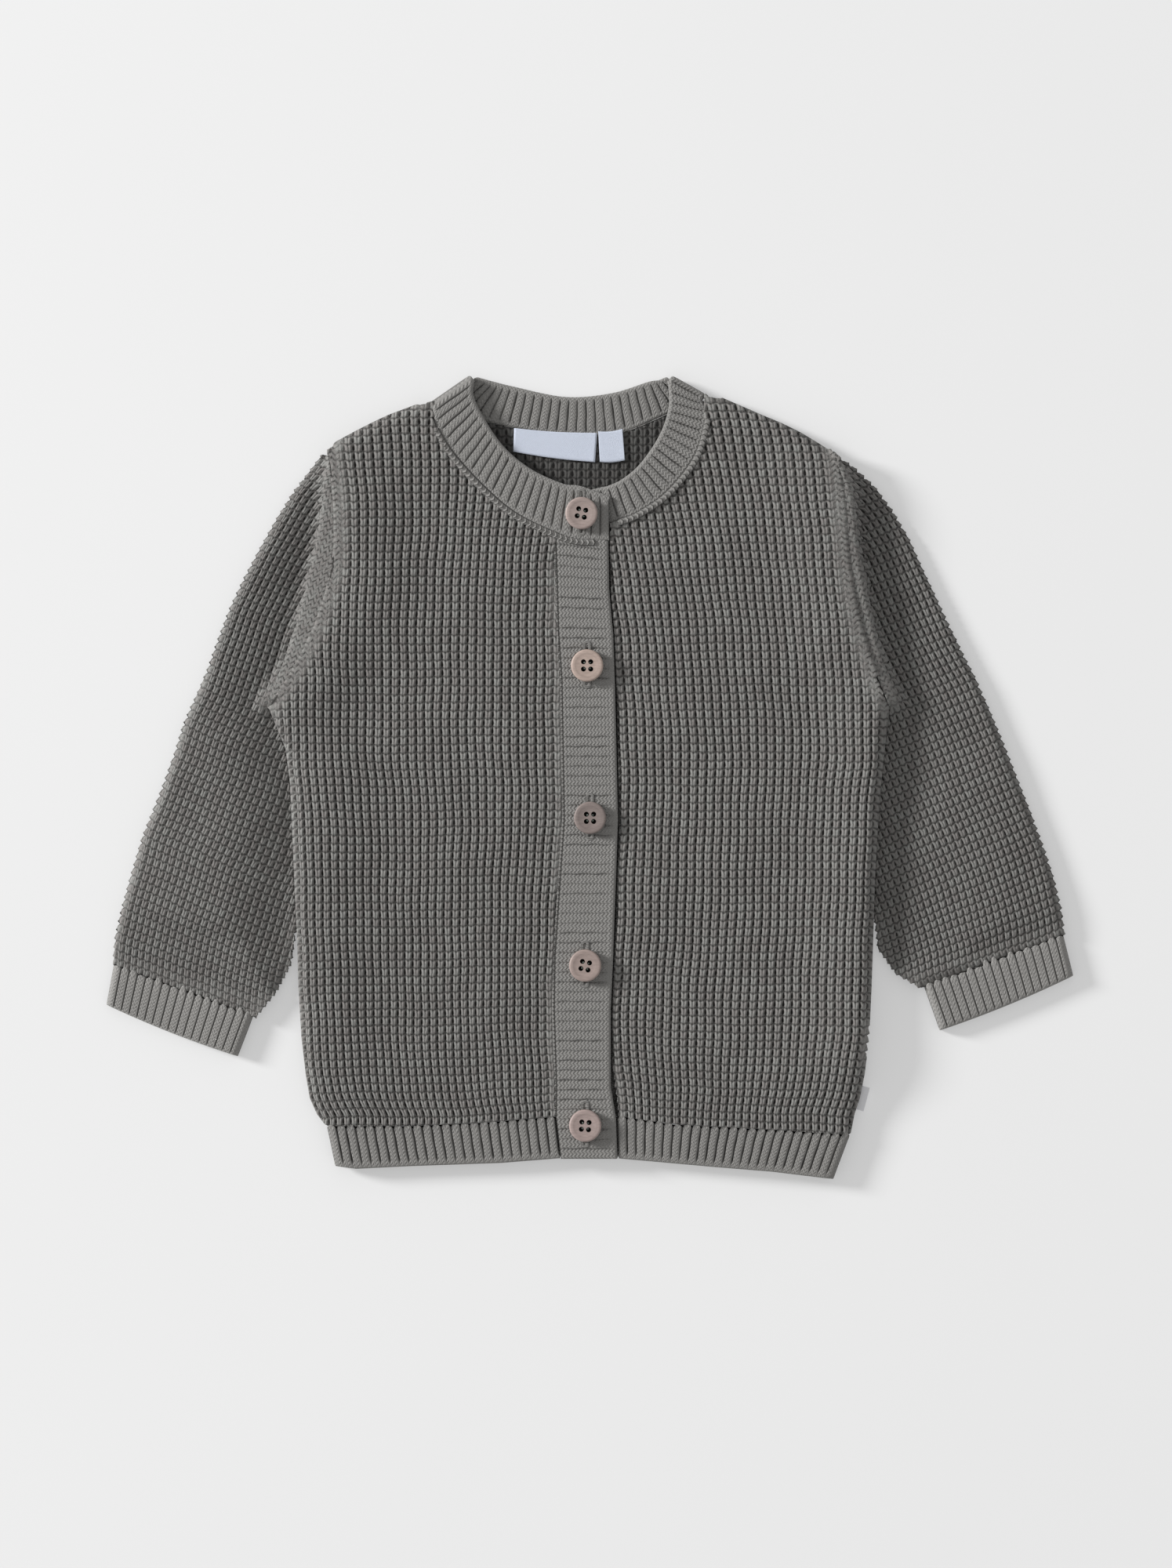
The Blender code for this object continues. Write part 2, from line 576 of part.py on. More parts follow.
def make_cuff(side, material, collection):
    """A narrower tube below the sleeve, with ribs on the side that shows."""
    def row(outer, inner):
        return lambda share: (on_line([outer, inner], share), CUFF_TOP)

    cuff = side.cuff
    sections = [row(cuff.outer_top, cuff.inner_top), row(cuff.outer_end, cuff.inner_end)]
    return flat_tube(f"{side.name}_cuff", sections, rib_places(CUFF_RIBS), RIB_WALL,
                     CUFF_ROLL, material, collection)


# ---------------------------------------------------------------- ribbed trim
def make_front_hem(side, material, collection):
    levels = (PLACKET[-2].y, PLACKET[-1].y)
    if side.sign < 0:
        outer_x = (side.side[0].x, HEM_END[0].x)
        inner_x = [placket_seam(y) - SEAM_GAP for y in levels]
    else:
        outer_x = (side.side[0].x, HEM_END[-1].x)
        inner_x = [placket_free_edge(y) + 2.0 * SEAM_GAP for y in levels]
    count = round(abs(outer_x[0] - inner_x[0]) / HEM_PITCH)
    outer = []
    inner = []
    for row, line in enumerate((HEM_START, HEM_END)):
        top_row = []
        under_row = []
        for share, rise in rib_places(count):
            x = between(outer_x[row], inner_x[row], share)
            y = straight(line, x, "y", "x")
            edge = abs(x - outer_x[row])
            base = between(HEM_EDGE_TOP, HEM_TOP, rolled(edge, BODY_ROLL))
            top_row.append((x, y, base + rise))
            under_row.append((x, y, max(base - RIB_WALL, BACK_HEM_WALL + LAYER_GAP)))
        outer.append(top_row)
        inner.append(under_row)
    return cloth_wall(f"hem_{side.name}_front", outer, inner, material, collection)


def make_back_hem(material, collection):
    outer = []
    inner = []
    for line in (HEM_START, HEM_END):
        top_row = []
        under_row = []
        for n in range(BACK_HEM_COLUMNS + 1):
            share = n / BACK_HEM_COLUMNS
            x = between(line[0].x + BACK_HEM_INSET, line[-1].x - BACK_HEM_INSET, share)
            y = straight(line, x, "y", "x")
            if line is HEM_END:
                y += BACK_HEM_RISE
            top_row.append((x, y, BACK_HEM_WALL))
            under_row.append((x, y, 0.0))
        outer.append(top_row)
        inner.append(under_row)
    return cloth_wall("hem_back", outer, inner, material, collection)


def make_band(name, top_y, left_inset, right_inset, floor, wall, material, collection):
    """A straight band of the placket, whose ribs run across it."""
    end_y = PLACKET[-1].y
    count = round((top_y - end_y) / PLACKET_PITCH)
    outer = []
    inner = []
    for share, rise in rib_places(count):
        y = between(end_y, top_y, share)
        left = placket_seam(y) + left_inset
        right = placket_free_edge(y) + right_inset
        outer.append([(left, y, floor + wall + rise), (right, y, floor + wall + rise)])
        inner.append([(left, y, floor), (right, y, floor)])
    return cloth_wall(name, outer, inner, material, collection)


# ---------------------------------------------------------------- neckband
def fold_axis(fold, upper_z, lower_z):
    """The line that the band folds round, inside the edge that shows from above."""
    run = Vector((fold.free_x - fold.seam_x, fold.free_y - fold.seam_y))
    outward = Vector((-run.y, run.x)).normalized()
    if outward.y < 0:
        outward = -outward
    radius = (upper_z - lower_z) / 2.0
    inset = outward * (radius + (RIB_WALL + RIB_RISE) / 2.0)
    axis = Band(fold.seam_x - inset.x, fold.seam_y - inset.y,
                fold.free_x - inset.x, fold.free_y - inset.y, (upper_z + lower_z) / 2.0)
    return axis, outward, radius


def neck_sections(right_fold, left_fold):
    """Sections along the band, each with the way its upper face looks, ribs left out."""
    up = Vector((0.0, 0.0, 1.0))
    sections = []

    def add_run(rows):
        for n in range(NECK_RUN_STEPS + 1):
            sections.append((smooth(rows, n / NECK_RUN_STEPS), up))

    def add_fold(fold, over):
        axis, outward, radius = fold
        for n in range(1, NECK_FOLD_STEPS):
            angle = math.pi * n / NECK_FOLD_STEPS
            if over < 0:
                angle = math.pi - angle
            way = up * math.cos(angle) + Vector((outward.x, outward.y, 0.0)) * math.sin(angle)
            move = way * radius
            row = Band(axis.seam_x + move.x, axis.seam_y + move.y,
                       axis.free_x + move.x, axis.free_y + move.y, axis.middle_z + move.z)
            sections.append((row, way))

    right_axis = right_fold[0]
    left_axis = left_fold[0]
    add_run([*NECK_RIGHT, right_axis._replace(middle_z=right_axis.middle_z + right_fold[2])])
    add_fold(right_fold, 1)
    turned = len(sections)
    add_run([right_axis._replace(middle_z=right_axis.middle_z - right_fold[2]), *NECK_BACK,
             left_axis._replace(middle_z=left_axis.middle_z - left_fold[2])])
    for n in range(turned, len(sections)):
        sections[n] = (sections[n][0], -up)
    add_fold(left_fold, -1)
    add_run([left_axis._replace(middle_z=left_axis.middle_z + left_fold[2]), *NECK_LEFT])
    return sections


def make_neckband(right_fold, left_fold, material, collection):
    """Ribs are raised on the side that looks up: outside at the front, inside at the back."""
    sections = neck_sections(right_fold, left_fold)
    middles = [Vector(((row.seam_x + row.free_x) / 2.0, (row.seam_y + row.free_y) / 2.0,
                       row.middle_z)) for row, way in sections]
    reached = [0.0]
    for a, b in zip(middles, middles[1:]):
        reached.append(reached[-1] + (b - a).length)
    count = round(reached[-1] / NECK_PITCH)
    outer = []
    inner = []
    for share, rise in rib_places(count):
        target = share * reached[-1]
        here = max(n for n in range(len(reached)) if reached[n] <= target + 1e-9)
        here = min(here, len(reached) - 2)
        span = reached[here + 1] - reached[here]
        t = 0.0 if span == 0.0 else (target - reached[here]) / span
        row_a, way_a = sections[here]
        row_b, way_b = sections[here + 1]
        row = Band(*[between(a, b, t) for a, b in zip(row_a, row_b)])
        way = way_a.lerp(way_b, t).normalized()
        half = (RIB_WALL + RIB_RISE) / 2.0
        fade = way.z ** 2
        out_by = half - (RIB_RISE - rise) * (fade if way.z > 0 else 0.0)
        in_by = half - (RIB_RISE - rise) * (fade if way.z < 0 else 0.0)
        ends = (Vector((row.seam_x, row.seam_y, row.middle_z)),
                Vector((row.free_x, row.free_y, row.middle_z)))
        outer.append([end + way * out_by for end in ends])
        inner.append([end - way * in_by for end in ends])
    return cloth_wall("neckband", outer, inner, material, collection)


# ---------------------------------------------------------------- buttons and labels
def make_button_mesh(collection, cutters):
    """A turned disc with a rounded rim and a shallow dish, bored with four holes."""
    profile = [(0.0, BUTTON_THICKNESS - BUTTON_DISH),
               (BUTTON_DISH_RADIUS, BUTTON_THICKNESS - BUTTON_DISH),
               (BUTTON_LIP_RADIUS, BUTTON_THICKNESS)]
    for n in range(BUTTON_EDGE_STEPS + 1):
        turn = math.pi / 2.0 * (1.0 - n / BUTTON_EDGE_STEPS)
        profile.append((BUTTON_RADIUS - BUTTON_EDGE + BUTTON_EDGE * math.cos(turn),
                        BUTTON_THICKNESS - BUTTON_EDGE + BUTTON_EDGE * math.sin(turn)))
    profile += [(BUTTON_RADIUS - BUTTON_EDGE, 0.0), (0.0, 0.0)]
    mesh = bpy.data.meshes.new("button_profile")
    mesh.from_pydata([Vector((r, 0.0, z)) * MM for r, z in profile],
                     [(n, n + 1) for n in range(len(profile) - 1)], [])
    disc = bpy.data.objects.new("button_blank", mesh)
    collection.objects.link(disc)

    screw = disc.modifiers.new("turned", "SCREW")
    screw.steps = BUTTON_SIDES
    screw.render_steps = BUTTON_SIDES
    screw.use_merge_vertices = True
    screw.merge_threshold = 0.00001

    holes = bmesh.new()
    for x_way in (-1, 1):
        for y_way in (-1, 1):
            made = bmesh.ops.create_cone(holes, cap_ends=True, segments=HOLE_SIDES,
                                         radius1=BUTTON_HOLE_RADIUS * MM,
                                         radius2=BUTTON_HOLE_RADIUS * MM,
                                         depth=3.0 * BUTTON_THICKNESS * MM)
            move = Vector((x_way, y_way, 0.0)) * BUTTON_HOLE_SPACING / 2.0 * MM
            bmesh.ops.translate(holes, verts=made["verts"], vec=move)
    hole_mesh = bpy.data.meshes.new("button_holes")
    holes.to_mesh(hole_mesh)
    holes.free()
    cutter = bpy.data.objects.new("button_holes", hole_mesh)
    cutter.hide_render = True
    cutter.display_type = "WIRE"
    cutters.objects.link(cutter)

    bore = disc.modifiers.new("bored", "BOOLEAN")
    bore.object = cutter
    bore.operation = "DIFFERENCE"
    bore.solver = "EXACT"

    bpy.context.view_layer.update()
    made = disc.evaluated_get(bpy.context.evaluated_depsgraph_get())
    button_mesh = bpy.data.meshes.new_from_object(made)
    bpy.data.objects.remove(disc)
    return button_mesh


def make_buttons(material, collection, cutters):
    mesh = make_button_mesh(collection, cutters)
    band_top = TOP_BAND_FLOOR + RIB_WALL + RIB_RISE
    for n, row in enumerate(BUTTONS, start=1):
        piece = add_object(f"button_{n}", mesh, material, collection)
        piece.location = Vector((row.x, row.y, band_top + LAYER_GAP)) * MM
        piece.rotation_euler = (0.0, 0.0, math.radians(row.turn))


def make_label(name, corners, material, collection):
    """A woven tab, sewn on along its upper edge, whose free edge lifts a little."""
    floor = KNIT_WALL + LAYER_GAP
    outer = []
    inner = []
    for v in (0.0, 0.5, 1.0):
        lift = LABEL_LIFT * (1.0 - v) ** 2
        top_row = []
        under_row = []
        for n in range(LABEL_COLUMNS + 1):
            u = n / LABEL_COLUMNS
            x = between(between(corners[0].x, corners[1].x, u),
                        between(corners[3].x, corners[2].x, u), v)
            y = between(between(corners[0].y, corners[1].y, u),
                        between(corners[3].y, corners[2].y, u), v)
            y -= LABEL_SAG * math.sin(math.pi * u)
            top_row.append((x, y, floor + lift + LABEL_WALL))
            under_row.append((x, y, floor + lift))
        outer.append(top_row)
        inner.append(under_row)
    return cloth_wall(name, outer, inner, material, collection)


def make_side_label(material, collection):
    """A folded tab that stands out of the left side seam near the hem."""
    outer = []
    inner = []
    for y in (SIDE_LABEL_END, SIDE_LABEL_TOP):
        edge = straight(LEFT_SIDE.side, y, "x", "y")
        root = edge + SEAM_GAP
        tip = root + SIDE_LABEL_REACH
        row = [(root, y, SIDE_LABEL_ROOT_Z), (tip, y - SIDE_LABEL_DROP, SIDE_LABEL_TIP_Z)]
        outer.append([(x, y, z + LABEL_WALL / 2.0) for x, y, z in row])
        inner.append([(x, y, z - LABEL_WALL / 2.0) for x, y, z in row])
    return cloth_wall("side_label", outer, inner, material, collection)


def main():
    for thing in list(bpy.context.scene.objects):
        bpy.data.objects.remove(thing)
    garment = bpy.data.collections.new("baby_cardigan")
    cutters = bpy.data.collections.new("cutters")
    bpy.context.scene.collection.children.link(garment)
    bpy.context.scene.collection.children.link(cutters)

    knit = make_material("waffle_knit", GREY, 0.95)
    rib = make_material("rib_knit", RIB_GREY, 0.95)
    shell = make_material("button_shell", BUTTON_BROWN, 0.55)
    ribbon = make_material("label_ribbon", LABEL_WHITE, 0.8)

    right_fold = fold_axis(NECK_FOLD_RIGHT, NECK_RIGHT[-1].middle_z, NECK_BACK[0].middle_z)
    left_fold = fold_axis(NECK_FOLD_LEFT, NECK_LEFT[0].middle_z, NECK_BACK[-1].middle_z)
    make_back(right_fold[0], left_fold[0], knit, garment)
    make_back_hem(rib, garment)
    for side in (RIGHT_SIDE, LEFT_SIDE):
        make_front(side, knit, garment)
        make_sleeve(side, knit, garment)
        make_cuff(side, rib, garment)
        make_front_hem(side, rib, garment)
    make_band("button_band", UNDER_BAND_TOP, UNDER_BAND_INSET, UNDER_BAND_SHOW,
              UNDER_BAND_FLOOR, UNDER_BAND_WALL, rib, garment)
    make_band("buttonhole_band", PLACKET[0].y, 0.0, 0.0, TOP_BAND_FLOOR, RIB_WALL, rib, garment)
    make_neckband(right_fold, left_fold, rib, garment)
    make_buttons(shell, garment, cutters)
    make_label("neck_label", NECK_LABEL, ribbon, garment)
    make_label("size_label", SIZE_LABEL, ribbon, garment)
    make_side_label(ribbon, garment)


main()
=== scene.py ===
"""Fine form, cloth and light of a baby cardigan in waffle knit, laid flat, face up.

The panels are knitted as grids of stitches over their solids, the trim as raised ribs.
Frame: +X towards the wearer's left, +Y towards the neck, +Z up from the surface that it lies on.
The tables of the cloth are in millimetres. The buttons, the stage and the panel's own settings
are in metres.
"""

import math
from collections import namedtuple

import bmesh
import bpy
import numpy as np
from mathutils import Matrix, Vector
from mathutils.bvhtree import BVHTree
from mathutils.kdtree import KDTree
from mathutils.geometry import tessellate_polygon


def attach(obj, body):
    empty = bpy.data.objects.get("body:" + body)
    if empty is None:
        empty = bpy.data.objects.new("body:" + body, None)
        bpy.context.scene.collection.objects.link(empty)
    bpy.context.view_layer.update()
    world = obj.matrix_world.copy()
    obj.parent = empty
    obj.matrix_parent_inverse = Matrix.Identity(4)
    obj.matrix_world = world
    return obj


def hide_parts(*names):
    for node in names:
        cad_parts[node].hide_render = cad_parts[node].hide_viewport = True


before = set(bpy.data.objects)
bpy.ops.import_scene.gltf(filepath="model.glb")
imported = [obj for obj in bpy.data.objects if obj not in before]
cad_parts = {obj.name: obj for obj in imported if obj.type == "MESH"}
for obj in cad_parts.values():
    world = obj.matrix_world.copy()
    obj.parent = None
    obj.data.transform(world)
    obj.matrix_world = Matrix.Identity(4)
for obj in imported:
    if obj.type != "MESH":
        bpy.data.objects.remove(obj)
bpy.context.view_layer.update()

bl_info = {
    "name": "Baby Cardigan Knit",
    "version": (1, 0, 0),
    "blender": (4, 5, 0),
    "location": "View3D > Sidebar > Cardigan",
    "description": "Knits a flat-laid baby cardigan over its solids",
    "category": "Object",
}

MM = 0.001
FLOOR_GLOW = 0.315          # the floor glows: painted light that lifts and softens its shadows
WARM = (1.03, 0.985, 0.985)
COOL = (0.97, 1.005, 1.0)
SEAM_SHADE = 0.9            # painted shade on the seam edge of a band
SIDE_LABEL_COLOUR = (0.78, 0.78, 0.8)
KEY_PLACE = (-4.415, 1.607, 1.71)
KEY_WIDTH = 1.1
KEY_POWER = 330.0
SURROUND = 0.53             # strength of the light from all round
FLOOR_WIDTH = 6.0
FLOOR_DROP = 0.0001         # how far the floor lies below the cloth
SENSOR = 24.0
VIEW_LENGTH = 2000.0 * 0.000295   # length of the floor in view, in metres
VIEW_CENTRE = (-0.0012, -0.00325)

# the buttons, in metres: their dish and rim, holes, the dark pad of painted shade below them,
# thread and the stitches of a hole
BUTTON_INSETS = (0.26, 0.10)    # of the radius
DISH_DEPTH = 0.00014
RIM_WIDTH = 0.0007
HOLE_STEP = 0.00136
HOLE_RADIUS = 0.00094
TURNED_LINE = 0.00435            # radius of the fine line turned in a button, darkened with painted shade
PAD_RADIUS = 0.0031
PAD_HEIGHT = 0.00036
PAD_DROP = 0.0002               # how far its middle lies below the button
PAD_ROUND = 0.00012
THREAD_RADIUS = 0.00027
THREAD_REACH = 0.0015
THREAD_DROP = 0.0006            # how far a thread starts below the face of a button
STITCH_RING = (0.0011, 0.0006)  # how far the stitches lie from the slit, and their radius
STITCH_SINK = 0.00035
BUTTONHOLE_LENGTH = 0.0146
BUTTONHOLE_SHIFT = -0.0068

At = namedtuple("At", "x y")
Band = namedtuple("Band", "seam_x seam_y free_x free_y middle_z")
Placket = namedtuple("Placket", "y seam_x free_x")
Cuff = namedtuple("Cuff", "outer_top inner_top outer_end inner_end")
Button = namedtuple("Button", "x y turn tone")
Trim = namedtuple("Trim", "plain_free plain_seam depth uneven stray tongue seam_lift joined")

# ---------------------------------------------------------------- sizes of the cloth
COURSE = 3.12              # height of a row of waffle stitches
SLEEVE_WALE = 2.64         # width of a column of stitches on a sleeve
# the left sleeve's gaps are set more open, partly real depth and partly to mix in more painted
# shade, as it lies in the body's shadow
SLEEVE_OPEN = {"right": 0.66, "left": 0.78}       # how open the gaps are there
SLEEVE_TOP_OPEN = {"right": 0.86, "left": 1.0}    # and beside the armhole
CUFF_OPEN = 0.52           # and just above the cuff
FOLD_OPEN = 0.1            # and on the fold beside the armhole

# how the cloth swells over the solids: the rise of the fold at the armhole and its slope
# outwards, how far the edge of the fold keeps to the body, the rise of the front beside it,
# where that is highest and how wide it is, how deep the sleeve sinks below the fold, how high
# it rises further out and how wide that slope is
Swell = namedtuple("Swell", "fold fold_slope inset side side_middle side_width valley lift slope")
SWELL = {"right": Swell(1.1, 0.26, 2.3, 2.4, 12.0, 15.0, 1.7, 1.9, 28.0),
         "left": Swell(3.4, 0.12, 0.7, 4.0, 4.0, 17.0, 0.0, 0.0, 28.0)}
FRONT_TOP = 6.85           # height of a front's solid by its armhole
SLEEVE_CAP = {"right": None, "left": (3.5, 9.0, 0.055)}   # level by the body, its width, slope

# how the columns of a front lean above the chest, as slopes at the placket and at the side
Lean = namedtuple("Lean", "y inner outer")
LEANS = {"right": [Lean(20, 0, 0), Lean(40, 0.03, 0.05), Lean(56, 0.05, 0.12), Lean(68, 0.08, 0.05),
                   Lean(80, 0.1, -0.01), Lean(103, 0.16, -0.12), Lean(126, 0.22, -0.25),
                   Lean(160, 0.22, -0.25)],
         "left": [Lean(15, 0, 0), Lean(32, -0.06, -0.01), Lean(56, -0.04, -0.06),
                  Lean(79, -0.09, -0.05), Lean(103, -0.3, -0.08), Lean(126, -0.3, -0.12),
                  Lean(160, -0.3, -0.12)]}
SEAM_FADE = 9.0            # width over which a front's gaps close towards its armhole
ARMHOLE_FOOT = 22.0
SLEEVE_LOW = 3.4
SLEEVE_SLANT = 0.08        # slope of a sleeve's courses towards the body
CUFF_PUFF = 22.0           # length over which a sleeve swells above its cuff
EDGE_PHASE = 0.36          # the outermost column shows this share of itself, and rolls over
FRONT_WALES = {"right": 32, "left": 30}
BACK_WALES = 64
HEM_SKEW_END = -60.0       # row above which the slope of the hem has evened out
PIT_DEPTH = 1.1            # depth of the dark gaps between the columns
EDGE_BLUR = 6.0            # width over which the gaps close towards a loose edge
EDGE_CLOSE = 0.6           # and the share of them that closes there
SLEEVE_EDGE_CLOSE = 0.25
EDGE_TUCK = 0.9            # how far the underside draws in at a loose edge
TRIM_NOTCH = 0.3           # depth of the notches where ribs are knitted on
SEAM_REACH = 0.22          # how far the cloth spreads over a seam
ARMHOLE_REACH = 0.9        # and a front over the seam of the armhole
KNIT_WALL = 2.3
SLEEVE_UNDER = 2.0         # top of a sleeve's lower layer
RIB_WALL = 1.7
RIB_RISE = 0.5
HEM_PITCH = 3.52
PLACKET_PITCH = 3.7
CUFF_RIBS = 17
NECK_PITCH = 3.45
SEAM_GAP = 0.32
LAYER_GAP = 0.3
BODY_ROLL = 5.0
HEM_TOP = 5.7
HEM_EDGE_TOP = 4.2
BACK_HEM_WALL = 2.0
CUFF_TOP = 4.1
CUFF_ROLL = 2.6
CUFF_PLAIN = 0.5           # width of the plain edge of a cuff
CUFF_TONGUE = 2.3          # how far its ribs reach over the sleeve
CUFF_SEAM_LIFT = -0.3
CUFF_NOTCH = 0.4
CUFF_GROOVE_HALF = 0.12
CUFF_GROOVE_CUT = 0.3
CUFF_GROOVE_SHADE = 0.7     # how dark the painted shade in its grooves is
CUFF_BULGE = 0.9           # its free end bows out by this much
UNDER_BAND_FLOOR = 2.6
UNDER_BAND_WALL = 1.4
TOP_BAND_FLOOR = 4.9
UNDER_BAND_TOP = 90.6
BUTTON_FLOOR = 7.4
EDGE_BOW = 0.66            # how far a loose edge bows out, and how much less between its rows
EDGE_SCALLOP = 1.6
EDGE_NOTCH = 0.75          # how far it draws in there
SEAM_BOW = 0.1             # how far the edge at a seam bows out
UNDER_RELIEF = 0.75        # depth of the stitches of an underside, as a share of the face's
ARMHOLE_X = 85.0           # the outline of a front beyond this and below the top is its armhole
ARMHOLE_TOP = 112.0
FOLD_LEVELS = (5.9, 7.2)   # heights between which a sleeve turns into its fold
FOLD_START = 6.3
SHOULDER_FADE = (108.0, 118.0)    # rows over which the fold beside a front ends
CUFF_STEP = 0.5            # how far a sleeve stands above the top of its cuff
PUFF_RISE = 1.9
RIB_EDGE = [0.0, 0.12, 0.35, 0.8] # places of the mesh from either end of a rib
RIB_LEVEL = 0.72           # height of a band's plain edge, as a share of a rib's rise
TONGUE_REACH = 2.2         # length over which a rib grows out of the knit, and on a cuff
CUFF_TONGUE_REACH = 2.4
NECK_CHAIN = (2.6, 0.85, 2.1)     # width, rise and length of the stitches of a chain
PLACKET_CHAIN = (1.1, 0.3, 1.5)
PLACKET_CHAIN_FOOT = 6.45  # height of the cloth that it lies on
CHAIN_SINK = 0.35          # how far the underside of a chain lies in the cloth
FEEL_STEPS = 12            # halvings in the search for an outline
FAR = 100.0
SEAM_WIDTH = 0.9           # an edge with nothing this close is loose
FRONT_MIDDLE = 55.0        # a line down each front, from which its two edges are felt
OUTSIDE = 150.0            # a line beside the body
FEEL_FROM = -128.0         # the lowest row at which the sides are felt
WALL_ROWS = (0.3, 0.7)     # heights of the rows of points between a face and an underside
NECK_WALES = (16.0, 44.0)  # the stitches of the inside that the neck shows
NECK_COURSES = (70.0, 87.0)
NECK_KNIT = 0.27           # how far that knit stands on the wall, and its depth
NECK_KNIT_DEPTH = 0.22
LABEL_ACROSS = 36          # faces across a label and down it
LABEL_DOWN = 18
LABEL_LIFT = 0.35          # how far its folded end lifts
LABEL_HALF = 0.36          # half its thickness

HEM_START = [At(-98.4, -131.9), At(-66.8, -131.9), At(-40.0, -130.6), At(-11.7, -128.3),
             At(12.2, -128.3), At(31.7, -131.3), At(63.9, -133.0), At(97.8, -135.1)]
HEM_END = [At(-95.3, -146.6), At(-87.2, -147.6), At(-66.8, -146.6), At(-32.9, -145.4),
           At(-11.7, -143.7), At(10.8, -143.7), At(46.5, -146.9), At(68.6, -148.7),
           At(91.6, -151.5)]
PLACKET = [Placket(87.8, -12.5, 7.2), Placket(69.6, -11.9, 7.5), Placket(52.8, -11.4, 9.0),
           Placket(35.7, -10.2, 9.6), Placket(-16.5, -9.3, 10.8), Placket(-67.6, -12.8, 9.0),
           Placket(-87.3, -13.1, 8.1), Placket(-116.8, -12.2, 8.1),
           Placket(-128.3, -12.4, 10.0), Placket(-143.7, -10.6, 10.5)]
NECK_RIGHT = [Band(7.5, 88.2, 7.5, 104.7, 6.15), Band(-4.0, 88.4, -3.4, 108.5, 6.1),
              Band(-13.4, 91.4, -9.9, 109.4, 6.0), Band(-28.2, 98.8, -22.0, 115.0, 5.8),
              Band(-40.6, 109.4, -32.3, 123.6, 5.6), Band(-51.5, 121.5, -40.0, 135.0, 5.4),
              Band(-57.4, 131.2, -43.4, 142.6, 5.2)]
NECK_BACK = [Band(-56.8, 137.1, -42.5, 149.7, 1.1), Band(-52.4, 136.8, -38.0, 148.6, 1.1),
             Band(-33.2, 131.9, -28.5, 146.2, 1.1), Band(-10.5, 128.3, -9.0, 142.3, 1.1),
             Band(10.5, 128.6, 8.4, 143.7, 1.1), Band(26.7, 135.1, 22.0, 147.9, 1.1),
             Band(36.0, 138.6, 26.1, 148.6, 1.1), Band(40.2, 140.2, 29.2, 149.7, 1.1)]
NECK_LEFT = [Band(44.0, 134.6, 29.8, 138.2, 5.2), Band(39.7, 119.8, 26.4, 127.7, 5.3),
             Band(29.1, 106.2, 19.3, 117.1, 5.2), Band(18.1, 98.5, 12.5, 111.2, 5.0),
             Band(11.2, 95.7, 7.2, 108.7, 4.4), Band(7.6, 94.6, 4.4, 108.1, 3.8),
             Band(-3.4, 91.2, -4.9, 105.9, 3.7)]
NECK_FOLD_RIGHT = Band(-60.3, 139.8, -44.8, 150.5, 0.0)
NECK_FOLD_LEFT = Band(43.5, 143.4, 31.1, 150.3, 0.0)
NECK_FOLD_STEPS = 8
NECK_REACH = 0.4           # how far the neckband spreads over its seam
CUFFS = {
    "right": Cuff(At(-178.7, -71.6), At(-126.4, -91.0), At(-181.4, -86.1), At(-132.0, -105.5)),
    "left": Cuff(At(178.3, -60.65), At(126.0, -79.9), At(181.9, -75.2), At(131.7, -95.8)),
}
BUTTONS = [Button(-2.9, 98.1, -12, (1.0, 0.98, 0.97)), Button(-0.8, 41.1, 0, (1.25, 1.2, 1.12)),
           Button(0.3, -15.9, 0, (0.66, 0.66, 0.66)),
           Button(-1.5, -71.2, -12, (0.95, 0.92, 0.9)), Button(-1.5, -131.1, -4, (1.04, 1.0, 1.0))]
NECK_LABEL = [At(-28.5, 121.5), At(2.2, 117.6), At(3.0, 128.6), At(-28.2, 130.4)]
# corners that the solids leave open and the cloth fills: outline, top and floor
PATCHES = {"right_front": [([At(-20.0, 85.0), At(-12.8, 85.0), At(-12.6, 91.2), At(-20.0, 94.0)],
                            6.8, 4.6),
                           ([At(-64.0, 134.5), At(-58.3, 134.5), At(-58.3, 140.2),
                             At(-64.0, 138.8)], 6.0, 3.7),
                           ([At(-97.9, 119.8), At(-95.6, 119.8), At(-95.6, 123.4),
                             At(-97.9, 121.9)], 6.7, 4.4)],
           "left_front": [([At(8.0, 80.0), At(12.5, 80.0), At(12.5, 95.9), At(8.0, 94.3)],
                           6.3, 4.0),
                          ([At(43.3, 134.0), At(47.0, 134.0), At(47.0, 141.5), At(43.3, 143.0)],
                           6.4, 4.2),
                          ([At(89.5, 116.0), At(93.4, 116.0), At(94.0, 118.6), At(92.6, 120.6),
                            At(89.5, 122.2)], 6.9, 4.6)]}
SIZE_LABEL = [At(4.0, 117.7), At(13.4, 118.3), At(12.5, 130.1), At(3.4, 129.2)]

HEM_TRIM = Trim(2.2, -2.0, 1.0, 0.2, 0.07, 2.0, 0.4, True)
BACK_HEM_TRIM = Trim(2.2, 0.0, 1.0, 0.25, 0.1, 0.0, 0.0, False)
BAND_TRIM = Trim(2.3, 0.7, 0.52, 0.6, 0.2, 0.0, 0.0, True)
NECK_TRIM = Trim(1.1, 1.1, 0.8, 0.3, 0.08, 0.0, 0.0, False)

# where the columns of a rib's mesh lie, as shares of its pitch from groove to groove
RIB_COLUMNS = [0.0, 0.045, 0.1, 0.17, 0.3, 0.5, 0.7, 0.83, 0.9, 0.955]
GROOVE_HALF = 0.15         # half the width of a groove, as a share of the pitch
GROOVE_CUT = 0.8           # depth of a groove below the band's face, as a share of the rise
GROOVE_NOTCH = 0.7         # how far a groove starts short of the seam of a knitted-on rib


# ---------------------------------------------------------------- settings
def faces_setting(name, description, value):
    return bpy.props.IntProperty(name=name, description=description, default=value, min=2, max=6)


def length_setting(name, description, value):
    return bpy.props.FloatProperty(name=name, description=description, default=value,
                                   unit="LENGTH")


